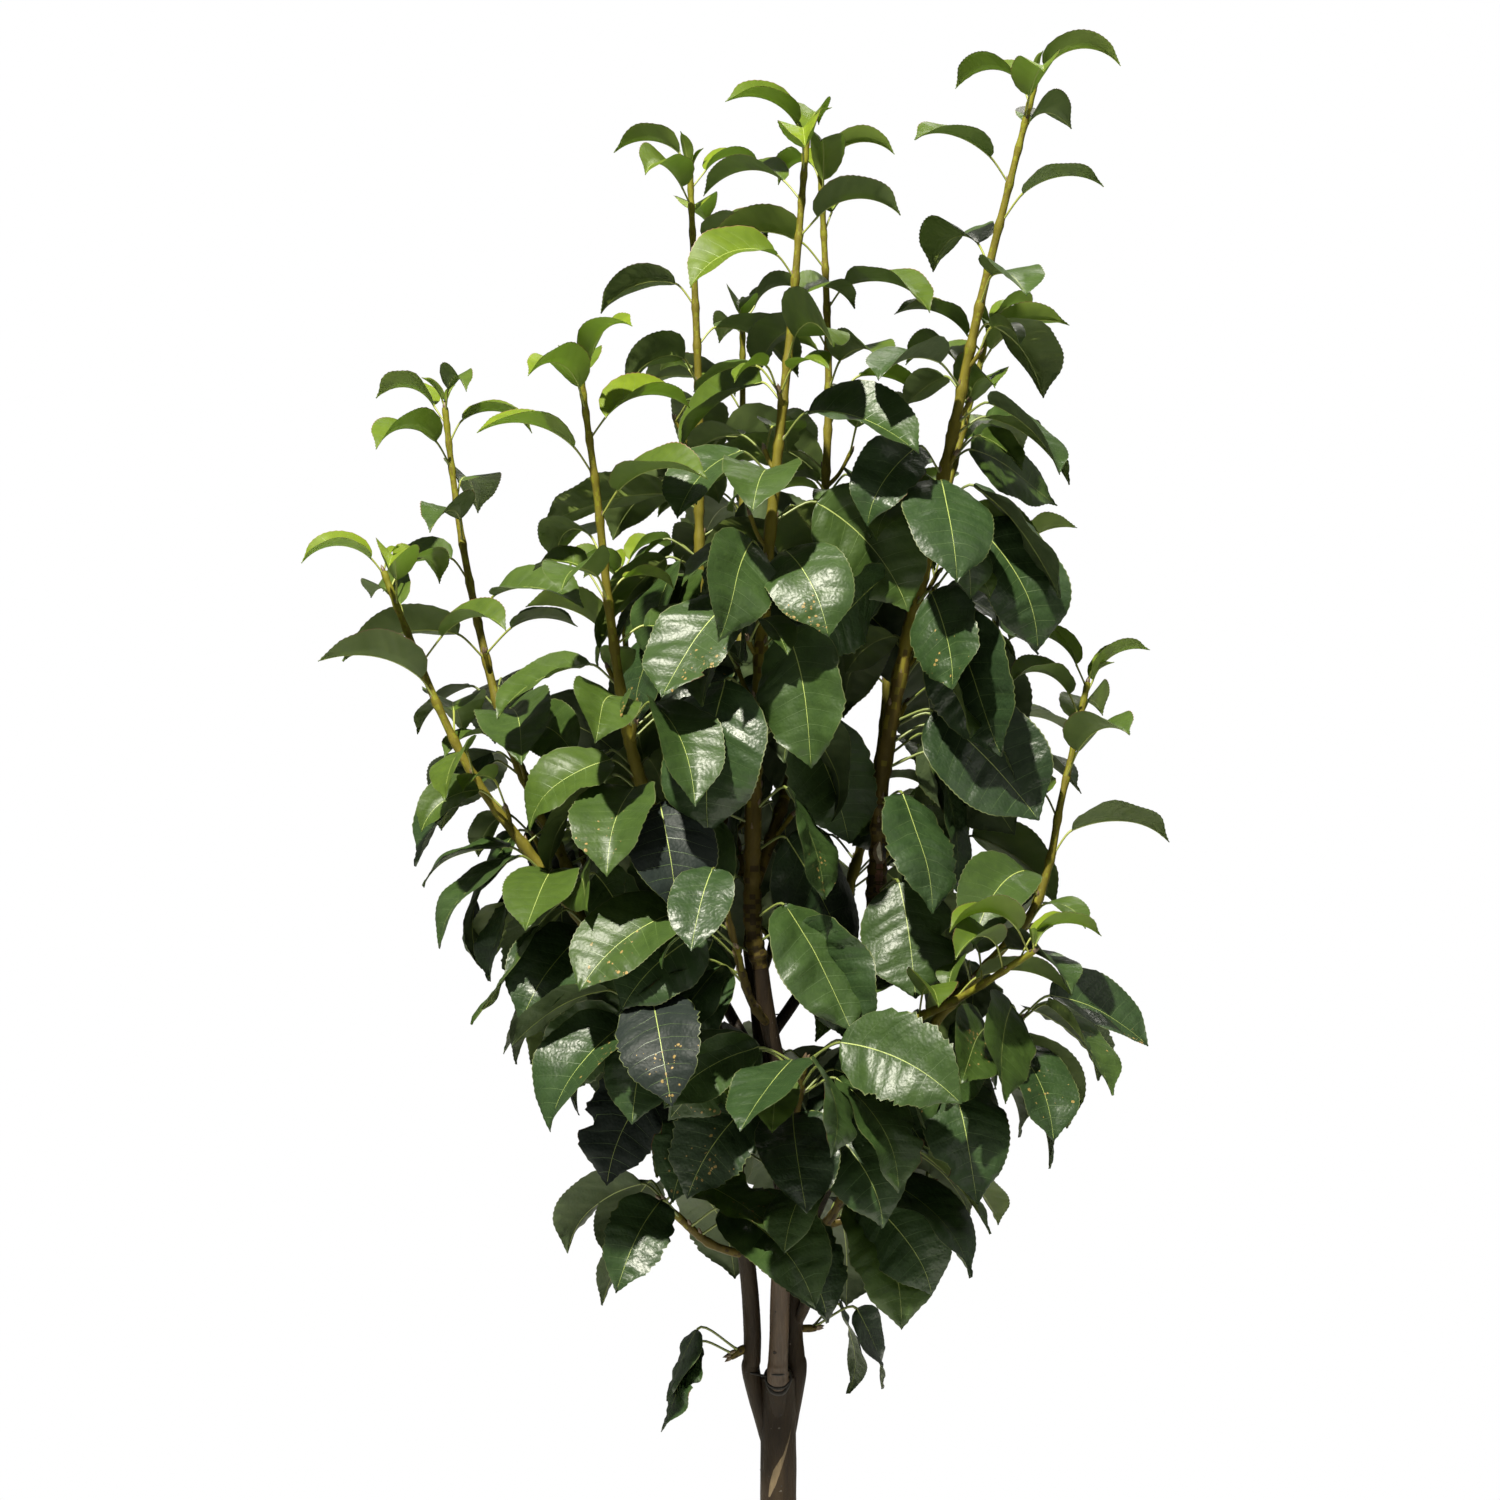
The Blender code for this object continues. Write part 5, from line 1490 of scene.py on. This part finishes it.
# The masses of leaves that are joined into one piece each.
GROUPS = {
    "left": ("left", "low_front_left", "low_left", "sprig_left"),
    "outer_left": ("outer_left", "high_left", "rear_left"),
    "leader": ("leader", "low_front", "high_front"),
    "tall_right": ("tall_right", "low_front_right", "under_right", "sprig_right"),
    "outer_right": ("outer_right", "spread_right", "low_right", "rear_right", "back_right",
                    "low_back_right"),
    "back": ("back", "low_back", "low_back_left", "high_back"),
}

# Stretches of stem that show between the leaves in the photograph, each a limb, a lowest and a highest
# height. The leaves that hung in front of them, within BARE_REACH to either side, have dropped.
BARE_STEMS = (("leader", 0.80, 1.05), ("tall_right", 0.88, 1.12))
BARE_REACH = 0.024
# Gaps in the crown through which the photograph shows sky, as x and z where the line of sight passes the
# plane of the trunk. The leaves that covered them have dropped too.
SKY_GAPS = ((0.0645, 0.9285), (-0.0195, 0.8775), (0.0720, 1.0500))
LEAF_REACH = 0.42  # how far a blade hides the sky to each side of its midrib, as a share of its width
EYE = Vector((-0.022, -3.0, 1.0275))  # the camera


def hides_stem(leaf, stems):
    """Whether the middle of a leaf's blade hangs in front of a stretch of stem that stays in sight."""
    x, y, z = leaf_frames(leaf, (0.5,))[0][0]
    for limb, low, high in BARE_STEMS:
        across, depth = (np.interp(z, stems[limb][:, 2], stems[limb][:, axis]) for axis in (0, 1))
        if low < z < high and y < depth and abs(x - across) < BARE_REACH:
            return True
    return False


def hides_sky(leaf):
    """Whether a leaf's blade would cover one of the gaps, as the camera sees it."""
    shares = (0.2, 0.4, 0.6, 0.8)
    for place, _, _, _ in leaf_frames(leaf, shares):
        seen = EYE - (place - EYE) * EYE.y / (place.y - EYE.y)
        if any(math.hypot(seen.x - x, seen.z - z) < leaf.width * LEAF_REACH for x, z in SKY_GAPS):
            return True
    return False


def build_foliage(boughs, masses):
    """All shoots and leaves, in one piece of blades and one of ribs to a group. Returns the shoots' pile."""
    named = {mass.name: mass for mass in masses}
    stems = {name: np.array(boughs[name][0] + named[name].lines[0][0]) for name, _, _ in BARE_STEMS}
    shoots = Pile("shoots", "bark", SHOOT_LOOKS)
    for group, members in GROUPS.items():
        blades = Pile("foliage_" + group, "leaf", LEAF_LOOKS)
        ribs = Pile("ribs_" + group, "leaf", RIB_LOOKS)
        for name in members:
            add_mass(named[name], stems, shoots, blades, ribs)
        blades.make(["leaves_" + name for name in members])
        ribs.make()
    shoots.make()
    return shoots


def add_mass(mass, stems, shoots, blades, ribs):
    """A mass's shoots, leaves and tips. A dropped leaf goes to a pile that is left out, so that the leaves
    after it keep their looks."""
    rng = random.Random("looks of " + mass.name)
    dropped = Pile("dropped", "leaf", LEAF_LOOKS + RIB_LOOKS)
    sway = 0.0 if mass.base_age == SPRIG_AGE else 1.0
    for (points, radii), leaves in zip(mass.lines, mass.leaves):
        line = add_shoot(shoots, points, radii, leaves, mass.base_age)
        spray = rng.uniform(-SPRAY_WANDER, SPRAY_WANDER)
        for leaf in leaves:
            # The leaves of a low shoot take painted shade in their tone.
            tone = tone_of(leaf, rng, spray + PAINTED_SHADE * mass.base_age, mass.name)
            in_the_way = hides_stem(leaf, stems) or hides_sky(leaf)
            piles = (dropped, dropped) if in_the_way else (blades, ribs)
            add_leaf(leaf, line, rng, *piles, tone, sway)
        if not mass.base_age:
            add_tip(line, rng, blades, ribs)
    for points, radii, leaves in mass.twigs:
        line = add_shoot(shoots, points, radii, leaves, TWIG_BASE_AGE)
        for leaf in leaves:
            add_leaf(leaf, line, rng, blades, ribs, tone_of(leaf, rng, TWIG_TONE, mass.name))


def add_tip(line, rng, blades, ribs):
    """A leaf or two still folded round the tip of a long shoot."""
    turn = rng.uniform(0, math.tau)
    for n in range(rng.randint(1, 2)):
        length = rng.uniform(0.016, 0.030)
        leaf = Leaf(
            root=line[-1],
            heading=turn + n * 2.4,
            rise=math.radians(rng.uniform(62, 80)),
            petiole=rng.uniform(0.004, 0.009),
            start=math.radians(rng.uniform(50, 78)),
            arch=math.radians(rng.uniform(10, 60)),
            length=length,
            width=length * rng.uniform(0.36, 0.5),
            fold=math.radians(rng.uniform(34, 52)),
            roll=math.radians(rng.uniform(-20, 20)),
            bend=math.radians(rng.uniform(-15, 15)),
            age=0.0,
        )
        add_leaf(leaf, line, rng, blades, ribs, rng.choice((0, 0, 1)))


POT_STEP = 0.004  # spacing of the points on the pot's outline
POT_SECTIONS = 120  # round the pot
TURNING_LINES = (0.00022, 900)  # their depth, and their waves in radians to the metre
TURNING_ZONE = (0.01, POT_HEIGHT - 0.01)  # the heights that have them
POT_WOBBLE = (0.0005, 28)  # how far the wall is out of round, and its scale to the metre
POT_ROUNDING = 0.004  # the radius of its edges


def pot_outline():
    """Half the pot's section as closely set points, from its floor inside over the rim to its foot."""
    rim = POT_RIM_RADIUS
    wall = rim - POT_RIM_STEP
    inner = wall - POT_WALL
    base = POT_BASE_RADIUS
    top, edge = POT_HEIGHT, POT_ROUNDING
    band = POT_HEIGHT - POT_RIM_BAND
    corners = [
        (0.0, POT_FLOOR), (base - POT_WALL, POT_FLOOR),
        (inner, top - edge), (inner + 0.0012, top - 0.0012), (inner + edge, top),
        (rim - edge, top), (rim - 0.0012, top - 0.0012), (rim, top - edge),
        (rim - 0.0008, band + edge), (rim - 0.0022, band + 0.0008), (rim - 0.005, band),
        (wall - 0.0022, band - 0.0004), (wall - 0.0034, band - 0.003),
        (base + 0.001, edge), (base - 0.0006, 0.0008), (base - 0.003, 0.0), (0.0, 0.0),
    ]
    outline = [corners[0]]
    for (r0, z0), (r1, z1) in zip(corners, corners[1:]):
        steps = max(1, round(math.hypot(r1 - r0, z1 - z0) / POT_STEP))
        outline += [(lerp(r0, r1, i / steps), lerp(z0, z1, i / steps)) for i in range(1, steps + 1)]
    return outline


def build_pot():
    """A thrown clay pot with a rounded rim band and faint turning lines."""
    work = bmesh.new()
    line = []
    for r, z in pot_outline():
        if TURNING_ZONE[0] < z < TURNING_ZONE[1]:
            depth, waves = TURNING_LINES
            r += depth * math.sin(z * waves) + 0.00018 * noise.noise(Vector((z * 210, r * 20, 4.0)))
        line.append(work.verts.new((max(0.0, r), 0.0, z)))
    edges = [work.edges.new(pair) for pair in zip(line, line[1:])]
    bmesh.ops.spin(work, geom=line + edges, cent=(0, 0, 0), axis=(0, 0, 1), steps=POT_SECTIONS,
                   angle=math.tau)
    bmesh.ops.remove_doubles(work, verts=work.verts, dist=0.00002)
    bmesh.ops.recalc_face_normals(work, faces=work.faces)
    wobble, scale = POT_WOBBLE
    for vert in work.verts:
        if vert.co.z > POT_FLOOR:
            out = Vector((vert.co.x, vert.co.y, 0.0)).normalized()
            vert.co += out * wobble * noise.noise(vert.co * scale)
    for face in work.faces:
        face.smooth = True
    mesh = bpy.data.meshes.new("clay_pot")
    work.to_mesh(mesh)
    work.free()
    mesh.materials.append(SURFACES["clay"])
    cut_drains(add_piece("clay_pot", mesh, ["pot"]))


def cut_drains(pot):
    """Cuts the round holes through the pot's floor."""
    for i in range(DRAIN_HOLES):
        angle = math.tau * (i + 0.5) / DRAIN_HOLES
        bpy.ops.mesh.primitive_cylinder_add(
            vertices=24, radius=DRAIN_RADIUS, depth=POT_FLOOR * 3,
            location=(DRAIN_CIRCLE * math.cos(angle), DRAIN_CIRCLE * math.sin(angle), POT_FLOOR / 2))
        cutter = bpy.context.object
        modifier = pot.modifiers.new("hole", "BOOLEAN")
        modifier.operation = "DIFFERENCE"
        modifier.solver = "EXACT"
        modifier.object = cutter
        bpy.context.view_layer.update()
        cut = bpy.data.meshes.new_from_object(pot.evaluated_get(bpy.context.evaluated_depsgraph_get()))
        pot.modifiers.clear()
        pot.data = cut
        bpy.data.objects.remove(cutter)


WALL_BOTTOM = POT_BASE_RADIUS - POT_WALL  # the pot's radius inside, at its floor and at its rim
WALL_TOP = POT_RIM_RADIUS - POT_RIM_STEP - POT_WALL
SOIL_SHARE = (SOIL_LEVEL - POT_FLOOR) / (POT_HEIGHT - 0.003 - POT_FLOOR)  # how far up the wall the soil comes
SOIL_RADIUS = lerp(WALL_BOTTOM, WALL_TOP, SOIL_SHARE) - 0.0006
SOIL_BOTTOM = POT_FLOOR + 0.002
SOIL_RINGS, SOIL_SIDES = 46, 150
SOIL_ROUGH = 0.0030
CRUMBS = 620
CRUMB_SIZE = (0.0014, 0.0042)  # the smallest crumb, and how much larger the largest is
CRUMBS_FROM = 0.026  # no crumb lies nearer to the middle, where the trunk stands
CRUMB_STRETCH = ((0.7, 1.3), (0.7, 1.3), (0.5, 0.9))  # along x, y and z
WHITE_SHARE = 0.05  # of the crumbs
WHITE_SIZE = 0.6  # of a white grain, to a crumb


def soil_height(x, y):
    """The height of the soil there. It rises towards the trunk and is rough, but nearly level at the wall."""
    share = min(1.0, math.hypot(x, y) / SOIL_RADIUS)
    rough = SOIL_ROUGH * noise.fractal(Vector((x * 55, y * 55, 2.0)), 1.0, 2.1, 4)
    return SOIL_LEVEL + SOIL_CROWN * (1 - share) ** 0.9 - 0.001 + rough * min(1.0, (1.02 - share) * 6)


def soil_ring(radius, height=None):
    """A ring of points in the soil at that height, or else on its surface."""
    ring = []
    for j in range(SOIL_SIDES):
        angle = math.tau * j / SOIL_SIDES
        x, y = radius * math.cos(angle), radius * math.sin(angle)
        ring.append((x, y, soil_height(x, y) if height is None else height))
    return ring


def build_soil():
    """Crumbly soil that rises towards the trunk, with clods and a few white grains."""
    pile = Pile("potting_soil", "soil", ["soil", "soil_crumb", "perlite"])
    rings = [soil_ring(SOIL_RADIUS * (i / SOIL_RINGS) ** 0.8) for i in range(1, SOIL_RINGS + 1)]
    pile.add(np.concatenate(rings), grid(SOIL_RINGS, SOIL_SIDES, True), "soil")
    pile.add(rings[0] + [(0.0, 0.0, soil_height(0.0, 0.0))], fan(SOIL_SIDES), "soil")
    wall = [soil_ring(SOIL_RADIUS, soil_height(SOIL_RADIUS, 0)),
            soil_ring(SOIL_RADIUS - 0.0026, SOIL_LEVEL - 0.02),
            soil_ring(WALL_BOTTOM - 0.001, SOIL_BOTTOM)]
    pile.add(np.concatenate(wall), grid(len(wall), SOIL_SIDES, True)[:, ::-1], "soil")
    pile.add(wall[-1] + [(0, 0, SOIL_BOTTOM)], fan(SOIL_SIDES, True), "soil")
    add_crumbs(pile, random.Random(5))
    pile.make(["soil"])


def add_crumbs(pile, rng):
    """Crumbs and white grains, each a round lump that is dented, stretched and turned."""
    lump = bmesh.new()
    bmesh.ops.create_icosphere(lump, subdivisions=1, radius=1.0)
    shape = np.array([v.co for v in lump.verts])
    faces = np.array([[v.index for v in f.verts] for f in lump.faces])
    lump.free()
    for _ in range(CRUMBS):
        r, angle = SOIL_RADIUS * 0.97 * math.sqrt(rng.random()), rng.uniform(0, math.tau)
        if r < CRUMBS_FROM:
            continue
        x, y = r * math.cos(angle), r * math.sin(angle)
        size = CRUMB_SIZE[0] + CRUMB_SIZE[1] * rng.random() ** 3
        size = min(size, (SOIL_RADIUS - r) * 0.9 + 0.0008)
        white = rng.random() < WHITE_SHARE
        stretch = np.array([rng.uniform(*span) for span in CRUMB_STRETCH])
        dents = np.array([rng.uniform(0.82, 1.12) for _ in shape])
        turn = rng.uniform(0, math.tau)
        c, s = math.cos(turn), math.sin(turn)
        form = shape * dents[:, None] * stretch * size * (WHITE_SIZE if white else 1.0)
        form = form @ np.array([[c, s, 0], [-s, c, 0], [0, 0, 1]])
        look = "perlite" if white else rng.choice(("soil", "soil_crumb"))
        pile.add(form + (x, y, soil_height(x, y) + size * 0.2), faces, look)


# Floor, light and camera

FLOOR_RADIUS = 2.3
FLOOR_HEIGHT = -0.0006
CROWN = (0.0, 0.0, 1.0)  # the middle of the crown, at which the lamps are aimed
# Each lamp is its name, its azimuth, elevation and distance, its size, its power and its colour: a small hard
# one from the upper left, a broad weak one from the right and a soft one from behind.
LAMPS = (
    ("key", -22, 54, 4.6, 0.14, 760.0, (1.0, 0.955, 0.84)),
    ("fill", 60, 25, 4.0, 2.2, 16.0, (1.0, 0.98, 0.90)),
    ("back", 160, 50, 4.0, 1.2, 40.0, (1.0, 0.97, 0.88)),
)
SENSOR_WIDTH, LENS = 36.0, 96.0


def build_stage():
    """A round floor just below the pot."""
    bpy.ops.mesh.primitive_circle_add(vertices=128, radius=FLOOR_RADIUS, fill_type="NGON",
                                      location=(0, 0, FLOOR_HEIGHT))
    floor = bpy.context.object
    floor.name = "floor"
    floor.data.materials.append(surface("floor_paint", (0.80, 0.80, 0.79), 0.7, shine=0.2))


def build_world():
    """Soft light that is brighter from above. The camera sees plain white in its place."""
    world = bpy.data.worlds.new("studio")
    bpy.context.scene.world = world
    world.use_nodes = True
    tree = world.node_tree
    tree.nodes.clear()
    out = add_node(tree, "OutputWorld")
    plain = add_node(tree, "Background", Color=(1.0, 1.0, 1.0, 1.0), Strength=1.0)
    view = add_node(tree, "TexCoord").outputs["Generated"]
    height = add_node(tree, "Math")
    height.operation = "MULTIPLY_ADD"
    height.inputs[1].default_value = height.inputs[2].default_value = 0.5
    tree.links.new(add_node(tree, "SeparateXYZ", Vector=view).outputs["Z"], height.inputs[0])
    light = add_ramp(tree, height.outputs[0], (0.30, (0.10, 0.10, 0.09)), (0.85, (0.70, 0.72, 0.65)))
    sky = add_node(tree, "Background", Color=light, Strength=0.50)
    seen = add_node(tree, "LightPath").outputs["Is Camera Ray"]
    mix = add_mix(tree, seen, sky.outputs["Background"], plain.outputs["Background"])
    set_inputs(tree, out, Surface=mix)


def build_lights():
    """The lamps. Azimuth 0 is the camera's side of the crown and 90 the viewer's right."""
    crown = Vector(CROWN)
    for name, azimuth, elevation, distance, size, power, colour in LAMPS:
        light = bpy.data.lights.new(name, "AREA")
        light.shape = "DISK"
        light.size = size
        light.energy = power
        light.color = colour
        a, e = math.radians(azimuth), math.radians(elevation)
        out = Vector((math.sin(a) * math.cos(e), -math.cos(a) * math.cos(e), math.sin(e)))
        made = add_object(name, light)
        made.location = crown + out * distance
        made.rotation_euler = (crown - made.location).to_track_quat("-Z", "Y").to_euler()


def build_camera():
    """A level camera that frames what the photograph shows."""
    camera = bpy.data.cameras.new("camera")
    camera.sensor_width = SENSOR_WIDTH
    camera.lens = LENS
    made = add_object("camera", camera)
    made.location = EYE
    made.rotation_euler = (math.pi / 2, 0.0, 0.0)
    bpy.context.scene.camera = made


build_camera()
boughs, masses = grow_tree()
trunk, limbs = build_bark(boughs)
shoots = build_foliage(boughs, masses)
build_scars(boughs, masses, (trunk, limbs, shoots))
build_pot()
build_soil()
build_stage()
build_world()
build_lights()
bpy.context.scene.view_settings.view_transform = "Standard"
